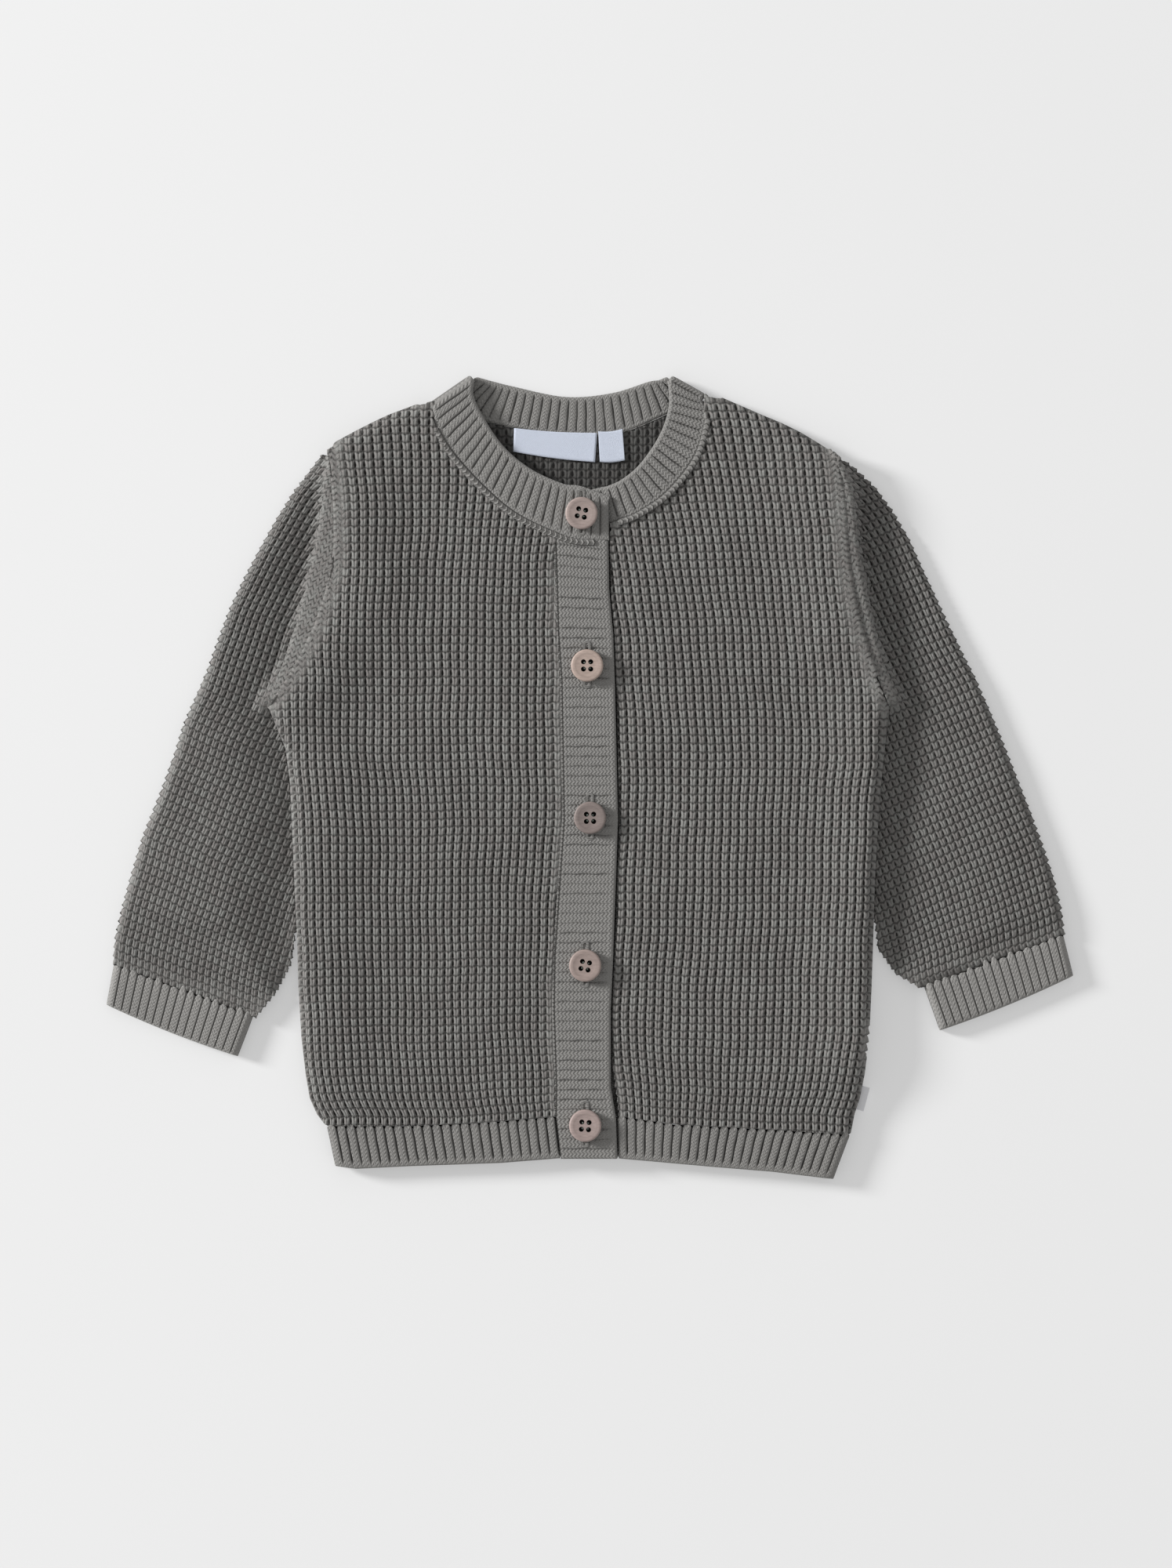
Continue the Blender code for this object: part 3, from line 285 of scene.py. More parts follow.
def colour_setting(name, description, value):
    return bpy.props.FloatVectorProperty(name=name, description=description, subtype="COLOR",
                                         size=3, default=value, min=0.0, max=1.0)


class CardiganSizes(bpy.types.PropertyGroup):
    stitch_quads: faces_setting("Faces a stitch", "Faces across one stitch of a front", 5)
    sleeve_quads: faces_setting("Faces a stitch, sleeve", "Faces across one of a sleeve", 4)
    back_quads: faces_setting("Faces a stitch, back", "Faces across one of the back", 4)
    button_width: length_setting("Button", "Width of a button", 0.0121)
    button_height: length_setting("Button height", "Thickness of a button", 0.0026)
    camera_height: length_setting("Camera height", "Height of the camera above the floor", 1.6)


class CardiganColours(bpy.types.PropertyGroup):
    yarn: colour_setting("Yarn", "Colour of the cotton yarn", (0.225, 0.219, 0.209))
    # pit is painted shade: the colour mixed in deep between the stitches, in grooves, in the holes
    # of buttons and at chain joins
    pit: colour_setting("Gaps", "Colour deep between the stitches", (0.020, 0.018, 0.016))
    button: colour_setting("Buttons", "Colour of the button shell", (0.315, 0.257, 0.238))
    thread: colour_setting("Thread", "Colour of the sewing thread", (0.19, 0.225, 0.195))
    label: colour_setting("Labels", "Colour of the woven ribbon", (0.62, 0.67, 0.78))
    floor: colour_setting("Floor", "Colour of the surface below", (0.53, 0.53, 0.53))


def sizes():
    return bpy.context.scene.cardigan_sizes


def colours():
    return bpy.context.scene.cardigan_colours


# ---------------------------------------------------------------- curves in plan
def between(a, b, t):
    return a + (b - a) * t


def smooth(rows, place):
    """Reads a table as a smooth curve: place runs from 0, its first row, to 1, its last."""
    reach = place * (len(rows) - 1)
    start = min(int(reach), len(rows) - 2)
    t = reach - start
    before = rows[max(start - 1, 0)]
    here = rows[start]
    after = rows[start + 1]
    beyond = rows[min(start + 2, len(rows) - 1)]
    found = []
    for a, b, c, d in zip(before, here, after, beyond):
        bend = (c - a) * t + (2 * a - 5 * b + 4 * c - d) * t ** 2
        found.append(b + 0.5 * (bend + (3 * b - a - 3 * c + d) * t ** 3))
    return type(here)(*found)


def column(rows, across, along):
    """A table's two columns, in rising order, as np.interp reads them."""
    ordered = sorted(rows, key=lambda row: getattr(row, along))
    return [getattr(row, along) for row in ordered], [getattr(row, across) for row in ordered]


def read(rows, value, across, along):
    return float(np.interp(value, *column(rows, across, along)))


def placket_seam(y):
    return read(PLACKET, y, "seam_x", "y")


def placket_free_edge(y):
    return read(PLACKET, y, "free_x", "y")


def rolled(distance, width):
    """How far a rounded edge has risen, from 0 at the edge to 1 where it is level."""
    t = np.clip(distance / width, 0.0, 1.0)
    return np.sqrt(1.0 - (1.0 - t) ** 2)


def eased(low, high, value):
    """0 below low, 1 above high, and a soft step between them."""
    t = np.clip((value - low) / (high - low), 0.0, 1.0)
    return t * t * (3.0 - 2.0 * t)


# ---------------------------------------------------------------- making objects
def make_object(name, points, faces, uvs, marks=None):
    """A mesh from points in millimetres, with a UV place and named marks for each point."""
    mesh = bpy.data.meshes.new(name)
    mesh.from_pydata((np.asarray(points) * MM).tolist(), [], faces)
    layer = mesh.uv_layers.new(name="stitches")
    corner = np.zeros(len(mesh.loops), np.int32)
    mesh.loops.foreach_get("vertex_index", corner)
    layer.data.foreach_set("uv", np.asarray(uvs, np.float32)[corner].ravel())
    for key, values in (marks or {}).items():
        mark = mesh.attributes.new(key, "FLOAT", "POINT")
        mark.data.foreach_set("value", np.asarray(values, np.float32))
    mesh.validate()
    piece = bpy.data.objects.new(name, mesh)
    bpy.context.scene.collection.objects.link(piece)
    return piece


def facing_out(piece):
    """Turns the faces of a closed piece outwards."""
    shape = bmesh.new()
    shape.from_mesh(piece.data)
    bmesh.ops.recalc_face_normals(shape, faces=shape.faces)
    shape.to_mesh(piece.data)
    shape.free()


def finish_piece(piece, material, nodes=(), smooth_faces=True):
    piece.data.materials.clear()
    piece.data.materials.append(material)
    if smooth_faces:
        piece.data.shade_smooth()
    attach(piece, "root")
    if nodes:
        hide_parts(*nodes)


def within(corners, x, y):
    """Whether a point lies in a polygon whose corners go round anticlockwise and bulge."""
    for a, b in zip(corners, corners[1:] + corners[:1]):
        if (b.x - a.x) * (y - a.y) - (b.y - a.y) * (x - a.x) < 0.0:
            return False
    return True


# ---------------------------------------------------------------- the form of a solid
class Solid:
    """Feels a solid straight from above or below, for its surface and its outline."""

    def __init__(self, node):
        shape = bmesh.new()
        shape.from_mesh(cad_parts[node].data)
        self.tree = BVHTree.FromBMesh(shape)
        shape.free()
        self.patches = PATCHES.get(node, ())

    def height(self, x, y, way=-1):
        """Height of the surface met going down, or up for way 1, and None beside the solid."""
        hit = self.tree.ray_cast(Vector((x * MM, y * MM, -0.1 * way)), Vector((0.0, 0.0, way)))
        if hit[0] is not None:
            return hit[0].z / MM
        for corners, top, floor in self.patches:
            if within(corners, x, y):
                return top if way < 0 else floor
        return None

    def heights(self, xs, ys):
        """Heights for a grid of points, with nan beside the solid."""
        found = np.full(xs.shape, np.nan)
        for index in np.ndindex(xs.shape):
            height = self.height(xs[index], ys[index])
            if height is not None:
                found[index] = height
        return found

    def side(self, y, start, end):
        """Where a line at y from a point on the solid to one beside it leaves the solid."""
        return between(start, end, self.edge((start, y), (end, y)))

    def beside(self, x, y, z):
        """Distance in plan to the nearest point of the solid."""
        found = self.tree.find_nearest(Vector((x, y, z)) * MM)[0]
        return math.hypot(found.x / MM - x, found.y / MM - y)

    def edge(self, inside, outside):
        """The share of the way from a point on the solid to one beside it, at its outline."""
        low, high = 0.0, 1.0
        for _ in range(FEEL_STEPS):
            middle = (low + high) / 2.0
            x = between(inside[0], outside[0], middle)
            y = between(inside[1], outside[1], middle)
            if self.height(x, y) is None:
                high = middle
            else:
                low = middle
        return low

    def first(self, start, end):
        """The first point of the solid on a line, felt every millimetre, or None."""
        count = int(math.dist(start, end))
        before = start
        for n in range(count + 1):
            here = (between(start[0], end[0], n / count), between(start[1], end[1], n / count))
            if self.height(*here) is not None:
                reach = self.edge(here, before)
                return between(here[0], before[0], reach), between(here[1], before[1], reach)
            before = here
        return None


def tree_of(nodes):
    shape = bmesh.new()
    for name in nodes:
        shape.from_mesh(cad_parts[name].data)
    tree = BVHTree.FromBMesh(shape)
    shape.free()
    return tree


def others_than(node):
    """Trees of all the solids but one, and of the ribbed ones that are knitted on to it."""
    trim = [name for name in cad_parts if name.startswith("hem_") or name.endswith("_cuff")]
    return tree_of([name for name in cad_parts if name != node]), tree_of(trim)


# ---------------------------------------------------------------- waffle knit
def stitch_depth(u, v, openness=1.0):
    """Depth of the waffle below its face, from 0 to 1, at wale u and course v.

    A stitch is a V of two legs. Its columns part in drop-shaped gaps, widest low in the stitch,
    and touch where a stitch is broad, at its top. Openness closes the gaps.
    """
    middle = np.abs(u - np.floor(u) - 0.5)
    t = v - 0.4 * middle
    t = t - np.floor(t)
    open_by = 0.21 * np.sin(math.pi * t ** 0.7) - 0.085 - 0.1 * (1.0 - openness)
    gap = 1.0 - eased(-0.02, 0.1, 0.5 - middle - open_by)
    dip = 1.0 - eased(0.0, 0.26, np.minimum(t, 1.0 - t))
    groove = (1.0 - eased(0.0, 0.12, middle)) * eased(0.2, 0.6, t)
    apart = 0.45 + 0.55 * np.sin(math.pi * t ** 0.7)
    face = 0.9 * middle ** 2 * apart + 0.55 * dip + 0.25 * groove
    return np.maximum(gap * openness, face * np.minimum(1.0, 1.5 * openness))


def wander(xs, ys):
    """How far the rows and columns of real knitting stray, in x and in y."""
    dx = 0.30 * np.sin(xs / 23.0 + ys / 31.0 + 0.4) + 0.22 * np.sin(ys / 9.3 - xs / 41.0 + 2.0)
    dx += 0.13 * np.sin(ys / 4.1 + xs / 7.7)
    dy = 0.35 * np.sin(xs / 27.0 - ys / 37.0 + 1.1) + 0.25 * np.sin(xs / 8.9 + ys / 53.0 + 0.3)
    dy += 0.15 * np.sin(xs / 3.9 - ys / 11.0)
    return xs + dx, ys + dy


def stitch_grid(wales, courses, quads):
    """Wale and course numbers of the points of a grid with some faces a stitch."""
    return np.meshgrid(*[np.linspace(low, high, round((high - low) * quads) + 1)
                         for low, high in (wales, courses)])


def corners_of(kept):
    """Which points of a grid its kept faces use."""
    used = np.zeros((kept.shape[0] + 1, kept.shape[1] + 1), bool)
    for rows in (slice(None, -1), slice(1, None)):
        for cols in (slice(None, -1), slice(1, None)):
            used[rows, cols] |= kept
    return used


def grid_faces(used, kept):
    """The kept faces of a grid, by the numbers of its used points."""
    number = np.full(used.shape, -1)
    number[used] = np.arange(used.sum())
    return np.stack([number[:-1, :-1][kept], number[:-1, 1:][kept],
                     number[1:, 1:][kept], number[1:, :-1][kept]], axis=1)


def hoop(upper, under):
    """Faces between one ring of points and the ring below it."""
    return np.stack([np.roll(upper, -1), upper, under, np.roll(under, -1)], axis=1).tolist()


def wall_faces(rows, cols):
    """Faces of a closed wall between two grids of points, numbered one after the other."""
    size = rows * cols
    faces = []
    for row in range(rows - 1):
        for col in range(cols - 1):
            a = row * cols + col
            corners = [a, a + 1, a + cols + 1, a + cols]
            faces.append(corners)
            faces.append([size + n for n in reversed(corners)])
    edges = [(row * cols + col, cols) for row in range(rows - 1) for col in (0, cols - 1)]
    edges += [(row * cols + col, 1) for col in range(cols - 1) for row in (0, rows - 1)]
    return faces + [[a, a + step, size + a + step, size + a] for a, step in edges]


def tube_faces(rows, cols):
    """Faces between the rings of a tube, whose points are numbered ring by ring."""
    a = np.arange((rows - 1) * cols).reshape(rows - 1, cols)
    b = np.roll(a, -1, axis=1)
    return np.stack([a, b, b + cols, a + cols], axis=2).reshape(-1, 4).tolist()


def knit_panel(name, solid, place, wales, courses, quads, near, both_sides=False, passes=8,
               shape_top=None):
    """A panel of waffle knit over a solid, closed at its edges and below.

    place turns wale and course numbers into x and y. Points of the grid that fall beside the
    solid are drawn in to its outline. With both_sides, the underside is knitted too, round a
    hollow. Otherwise it is plain. passes is how often the surface is evened out. shape_top turns
    the heights of the solid into the cloth's, and says how open its gaps are.
    """
    us, vs = stitch_grid(wales, courses, quads)
    xs, ys = wander(*place(us, vs))
    shape = xs.shape
    tops = solid.heights(xs, ys)
    inside = ~np.isnan(tops)
    kept = inside[:-1, :-1] | inside[1:, :-1] | inside[:-1, 1:] | inside[1:, 1:]
    used = corners_of(kept)

    drawn = {}
    steps = [(0, 1), (0, -1), (1, 0), (-1, 0), (1, 1), (1, -1), (-1, 1), (-1, -1)]
    for row, col in zip(*np.nonzero(used & ~inside)):
        for down, along in steps:
            there = (row + down, col + along)
            if 0 <= there[0] < shape[0] and 0 <= there[1] < shape[1] and inside[there]:
                break
        reach = solid.edge((xs[there], ys[there]), (xs[row, col], ys[row, col]))
        drawn[row, col] = (there, reach)
    for (row, col), (there, reach) in drawn.items():
        for grid in (xs, ys, us, vs):
            grid[row, col] = between(grid[there], grid[row, col], reach)
        found = solid.height(between(xs[there], xs[row, col], 0.98),
                             between(ys[there], ys[row, col], 0.98))
        tops[row, col] = tops[there] if found is None else found

    free = inside.copy()
    free[[0, -1], :] = False
    free[:, [0, -1]] = False
    weight = used.astype(float)
    level = np.where(used, tops, 0.0)
    openness = np.ones(shape)
    if shape_top is not None:
        level, openness = shape_top(xs, ys, level, used)
        level = np.where(used, level, 0.0)
    for _ in range(passes):
        total = np.zeros(shape)
        count = np.zeros(shape)
        for axis in (0, 1):
            for shift in (1, -1):
                total += np.roll(level * weight, shift, axis)
                count += np.roll(weight, shift, axis)
        level = np.where(free, 0.4 * level + 0.6 * total / np.maximum(count, 1.0), level)

    points = np.column_stack([xs[used], ys[used], level[used]])
    uvs = np.column_stack([us[used], vs[used]])
    quad = grid_faces(used, kept)
    a, b = points[quad[:, 1]] - points[quad[:, 0]], points[quad[:, 3]] - points[quad[:, 0]]
    mirrored = np.mean(np.cross(a[:, :2], b[:, :2])) < 0
    if mirrored:
        quad = quad[:, ::-1]
    pocket = hollow(xs, ys, level, inside, quads, mirrored) if both_sides else None
    return shell(name, points, uvs, quad, solid, near, openness[used], pocket)


def hollow(xs, ys, level, inside, quads, mirrored):
    """The space inside a flattened tube, as points and faces that look into it."""
    starts = [list(range(quads, size - 2 * quads, quads)) for size in xs.shape]
    kept = []
    for row in starts[0]:
        for col in starts[1]:
            patch = inside[row - quads:row + 2 * quads + 1, col - quads:col + 2 * quads + 1]
            if patch.all():
                kept.append((row, col))
    corners = sorted({(row + down, col + along) for row, col in kept
                      for down in (0, quads) for along in (0, quads)})
    number = {corner: n for n, corner in enumerate(corners)}
    quad = []
    for row, col in kept:
        around = [(row, col), (row, col + quads), (row + quads, col + quads), (row + quads, col)]
        quad.append([number[corner] for corner in (around[::-1] if mirrored else around)])
    quad = np.array(quad)
    size = len(corners)
    points = []
    for ceiling in (True, False):
        for corner in corners:
            z = SLEEVE_UNDER
            if ceiling:
                z = max(level[corner] - KNIT_WALL, SLEEVE_UNDER + LAYER_GAP)
            points.append((xs[corner], ys[corner], z))
    faces = [list(reversed(face)) for face in quad.tolist()]
    faces += [[size + n for n in face] for face in quad.tolist()]
    for ring in outline_loops(quad, size):
        for n, m in zip(ring, ring[1:] + ring[:1]):
            faces.append([n, m, size + m, size + n])
    return np.array(points), faces


def outline_loops(quad, count):
    """The edges of a sheet of faces that have a face on one side only, as rings of points."""
    starts = quad.ravel()
    ends = np.roll(quad, -1, axis=1).ravel()
    wide = starts.astype(np.int64)
    single = ~np.isin(wide * count + ends, ends.astype(np.int64) * count + starts)
    onward = {}
    for start, end in zip(starts[single], ends[single]):
        onward.setdefault(int(start), []).append(int(end))
    loops = []
    while onward:
        ring = [next(iter(onward))]
        while True:
            ends_here = onward[ring[-1]]
            following = ends_here.pop()
            if not ends_here:
                del onward[ring[-1]]
            if following == ring[0]:
                break
            ring.append(following)
        loops.append(ring)
    return loops


def surface_normals(points, quad):
    normals = np.zeros_like(points)
    across = points[quad[:, 2]] - points[quad[:, 0]]
    along = points[quad[:, 3]] - points[quad[:, 1]]
    face = np.cross(across, along)
    for corner in range(4):
        np.add.at(normals, quad[:, corner], face)
    size = np.linalg.norm(normals, axis=1, keepdims=True)
    return normals / np.maximum(size, 1e-12)


def shell(name, points, uvs, quad, solid, near, openness, pocket):
    """Closes a sheet of stitches: its relief, a rounded and uneven edge, and an underside.

    The underside is knitted where there is a pocket, and plain otherwise.
    """
    knit_below = pocket is not None
    count = len(points)
    normals = surface_normals(points, quad)
    loops = outline_loops(quad, count)
    edge_reach, inward_pull = measure_edges(points, loops, near)
    closing = SLEEVE_EDGE_CLOSE if knit_below else EDGE_CLOSE
    openness = openness * (1.0 - closing * (1.0 - eased(0.5, EDGE_BLUR, edge_reach)))
    relief = stitch_depth(uvs[:, 0], uvs[:, 1], openness)
    depth = relief * PIT_DEPTH
    top = points - normals * depth[:, None]
    parts = [(top, uvs, openness)]
    faces = quad.tolist()
    underside = count + len(WALL_ROWS) * sum(len(ring) for ring in loops)

    def add(*part):
        """Adds points with their UV places and openness, and returns their numbers."""
        first = sum(len(known[0]) for known in parts)
        parts.append(part)
        return np.arange(first, first + len(part[0]))

    bottoms = np.zeros(count)
    if knit_below:
        for n in range(count):
            found = solid.height(points[n, 0], points[n, 1], 1)
            bottoms[n] = 0.0 if found is None else found
    for ring in loops:
        ring = np.array(ring)
        here = points[ring].copy()
        tangent = np.roll(here, -1, axis=0) - np.roll(here, 1, axis=0)
        outward = np.column_stack([tangent[:, 1], -tangent[:, 0], np.zeros(len(ring))])
        outward /= np.maximum(np.linalg.norm(outward, axis=1, keepdims=True), 1e-9)
        face_uv = uvs[ring].copy()
        face_uv[:, 0] = np.floor(face_uv[:, 0]) + 0.5
        course_edge = stitch_depth(face_uv[:, 0], face_uv[:, 1])
        loose = edge_reach[ring] < 0.01
        swell = np.where(loose, EDGE_BOW - EDGE_SCALLOP * course_edge, SEAM_BOW)
        by_arm = (np.abs(here[:, 0]) > ARMHOLE_X) & (here[:, 1] > ARMHOLE_FOOT + 3.0) & (
            here[:, 1] < ARMHOLE_TOP) & (not knit_below)
        over = np.where(by_arm, ARMHOLE_REACH, SEAM_REACH)
        seamed = np.where(inward_pull[ring] > 0.0, relief[ring] * inward_pull[ring], -over)
        notch = np.where(loose, EDGE_NOTCH * course_edge, seamed)
        top[ring] -= outward * notch[:, None]
        floor = np.zeros(len(ring))
        for n, point in enumerate(here):
            inward = point - outward[n] * 0.05
            found = solid.height(inward[0], inward[1], 1)
            floor[n] = max(0.0, 0.5 * point[2] if found is None else found)
        if knit_below:
            floor = bottoms[ring]
        rows = [ring]
        for share in WALL_ROWS:
            row = here.copy()
            row[:, 2] = between(top[ring][:, 2], floor, share)
            row += outward * (swell * math.sin(math.pi * share) - notch)[:, None]
            rows.append(add(row, face_uv, openness[ring]))
        row = here - outward * np.where(loose, EDGE_TUCK, 0.0)[:, None]
        if knit_below:
            points[ring, :2] = row[:, :2]
            rows.append(ring + underside)
        else:
            row[:, 2] = floor
            rows.append(add(row, face_uv, openness[ring]))
        for upper, under in zip(rows, rows[1:]):
            faces += hoop(upper, under)
        if not knit_below:
            faces += flat_faces(row, rows[-1])
    if knit_below:
        under = points.copy()
        under[:, 2] = bottoms + depth * UNDER_RELIEF
        edge = [n for ring in loops for n in ring]
        under[edge, 2] = bottoms[edge]
        add(under, uvs, openness)
        faces += [[underside + n for n in reversed(corners)] for corners in quad.tolist()]
        inner, inner_faces = pocket
        first = int(add(inner, inner[:, :2] / COURSE, np.ones(len(inner)))[0])
        faces += [[first + n for n in face] for face in inner_faces]
    places, all_uvs, all_open = (np.concatenate(each) for each in zip(*parts))
    return make_object(name, places, faces, all_uvs, {"open": all_open})


def flat_faces(points, numbers):
    """Closes a ring of points with flat triangles."""
    flat = [Vector((point[0], point[1], 0.0)) for point in points]
    return [[int(numbers[corner]) for corner in face] for face in tessellate_polygon([flat])]


def points_tree(points):
    """Finds the nearest of some points."""
    tree = KDTree(len(points))
    for place, point in enumerate(points):
        tree.insert(point, place)
    tree.balance()
    return tree


def measure_edges(points, loops, near):
    """Each point's distance to a loose edge, and how far its own edge draws in at gaps."""
    others, trim = near
    loose = []
    pull = np.zeros(len(points))
    for ring in loops:
        for n in ring:
            middle = Vector((points[n, 0], points[n, 1], points[n, 2] * 0.6)) * MM
            if others.find_nearest(middle, SEAM_WIDTH * MM)[0] is None:
                loose.append(n)
            elif trim.find_nearest(middle, SEAM_WIDTH * MM)[0] is not None:
                pull[n] = TRIM_NOTCH
    reach = np.full(len(points), FAR)
    if loose:
        tree = points_tree([(points[n, 0], points[n, 1], 0.0) for n in loose])
        for n, point in enumerate(points):
            reach[n] = tree.find((point[0], point[1], 0.0))[2]
    return reach, pull


def along_hem(xs, base, lowest):
    """Courses that start beside the hem and have evened out further up."""
    skew = np.clip((HEM_SKEW_END - base) / (HEM_SKEW_END - lowest), 0.0, 1.0)
    return base + skew * (np.interp(xs, *column(HEM_START, "y", "x")) - lowest)


def front_place(side, solid):
    """Wales that follow the placket and the side, and courses that follow the hem."""
    sign = -1 if side == "right" else 1
    middle = sign * FRONT_MIDDLE
    rows = np.arange(FEEL_FROM, 84.0, 4.0)
    inner = [solid.side(y, middle, 0.0) for y in rows]
    outer = [solid.side(y, middle, sign * OUTSIDE) for y in rows]
    level = np.abs(np.array(outer) - np.array(inner)) / (FRONT_WALES[side] + EDGE_PHASE)
    top_row = 6.0
    pitch_top = float(np.interp(top_row, rows, level))
    level = np.where(rows > top_row, pitch_top, level)
    lowest = HEM_START[0].y if sign < 0 else HEM_START[-1].y
    heights = np.arange(LEANS[side][0].y, LEANS[side][-1].y, 1.0)
    leaning = [np.cumsum(np.interp(heights, *column(LEANS[side], key, "y")))
               for key in ("inner", "outer")]

    def place(us, vs):
        base = lowest + vs * COURSE
        start = np.interp(base, rows, inner)
        xs = start + sign * us * np.interp(base, rows, level)
        shifts = [np.interp(base, heights, leaned) for leaned in leaning]
        xs = xs + between(*shifts, np.clip(us / FRONT_WALES[side], 0.0, 1.0))
        return xs, along_hem(xs, base, lowest)

    return place


def back_place(solid):
    rows = np.arange(FEEL_FROM + 2.0, 22.0, 4.0)
    left, right = (np.array([solid.side(y, 0.0, end) for y in rows]) for end in (-OUTSIDE, OUTSIDE))
    lowest = min(row.y for row in HEM_START)

    def place(us, vs):
        base = lowest + vs * COURSE
        start = np.interp(base, rows, left)
        xs = start + us * (np.interp(base, rows, right) - start) / BACK_WALES
        return xs, along_hem(xs, base, lowest)

    return place


def sleeve_place(side, solid):
    """Wales that run beside the outer edge, and courses square to the arm."""
    cuff = CUFFS[side]
    across = np.array(cuff.inner_top) - np.array(cuff.outer_top)
    across /= np.linalg.norm(across)
    up = np.array([-across[1], across[0]])
    if up[1] < 0:
        up = -up
    origin = np.array(cuff.outer_top)
    stations = np.arange(-4.0, 240.0, 2.0)
    edges = []
    for station in stations:
        line = origin + up * station
        found = solid.first(line - across * 40.0, line + across * 120.0)
        edges.append(np.nan if found is None else float(np.dot(np.array(found) - line, across)))
    edges = np.array(edges)
    known = ~np.isnan(edges)
    edges = np.interp(stations, stations[known], edges[known])

    def place(us, vs):
        station = vs * COURSE
        slant = SLEEVE_SLANT * np.clip(station / 30.0, 0.0, 1.0)
        station = station - slant * (us - EDGE_PHASE) * SLEEVE_WALE
        shift = np.interp(station, stations, edges) + (us - EDGE_PHASE) * SLEEVE_WALE
        xs = origin[0] + up[0] * station + across[0] * shift
        ys = origin[1] + up[1] * station + across[1] * shift
        return xs, ys

    return place


def soft_waves(xs, ys):
    """Broad shallow waves of a knit that has been smoothed out by hand."""
    waves = 0.16 * np.sin(xs / 5.3 + ys / 19.0) + 0.2 * np.sin(xs / 13.0 - ys / 9.0 + 1.3)
    waves += 0.22 * np.sin(ys / 11.5 + xs / 31.0 + 0.6) + 0.12 * np.sin(ys / 5.0 - xs / 8.0 + 2.2)
    return 0.7 * waves


def side_lift(side, inward, ys):
    """How far a front swells at a distance from its side."""
    swell = SWELL[side]
    lift = swell.side * np.exp(-((inward - swell.side_middle) / swell.side_width) ** 2)
    return lift * (1.0 - 0.5 * eased(95.0, 132.0, ys))


def front_form(side, solid):
    """Lifts a front beside its armhole and along its side, as the sleeve's fold does."""
    sign = -1 if side == "right" else 1
    rows = list(np.arange(FEEL_FROM, 121.0, 3.0))
    outer = [sign * solid.side(y, sign * FRONT_MIDDLE, sign * OUTSIDE) for y in rows]
    slope = (outer[-1] - outer[-8]) / (rows[-1] - rows[-8])
    rows.append(150.0)
    outer.append(outer[-1] + slope * (rows[-1] - rows[-2]))

    def shaped(xs, ys, level, used):
        inward = np.maximum(0.0, np.interp(ys, rows, outer) - sign * xs)
        lift = side_lift(side, inward, ys) * eased(4.5, 6.8, level) * eased(-132.0, -100.0, ys)
        waves = soft_waves(xs, ys) * eased(5.0, 6.7, level) * eased(-131.0, -120.0, ys)
        beside_arm = eased(ARMHOLE_FOOT - 8.0, ARMHOLE_FOOT + 8.0, ys)
        openness = 1.0 - (1.0 - FOLD_OPEN) * beside_arm * (1.0 - eased(0.5, SEAM_FADE, inward))
        return level + lift + waves, openness

    return shaped


def drawn_back(xs, ys, level, used, inset):
    """Moves the outer edge of the fold towards the body, above the foot of the armhole."""
    if not inset:
        return level
    low = used & (level < 6.0) & (level > 4.0)
    tree = points_tree(list(zip(xs[low], ys[low], level[low])))
    found = level.copy()
    for row, col in zip(*np.nonzero(used & (level >= 6.0))):
        co, _, distance = tree.find((xs[row, col], ys[row, col], 5.3))
        reach = inset * float(eased(24.0, 44.0, ys[row, col]))
        if distance < reach and abs(co.x) > abs(xs[row, col]):
            found[row, col] = co.z
    return found


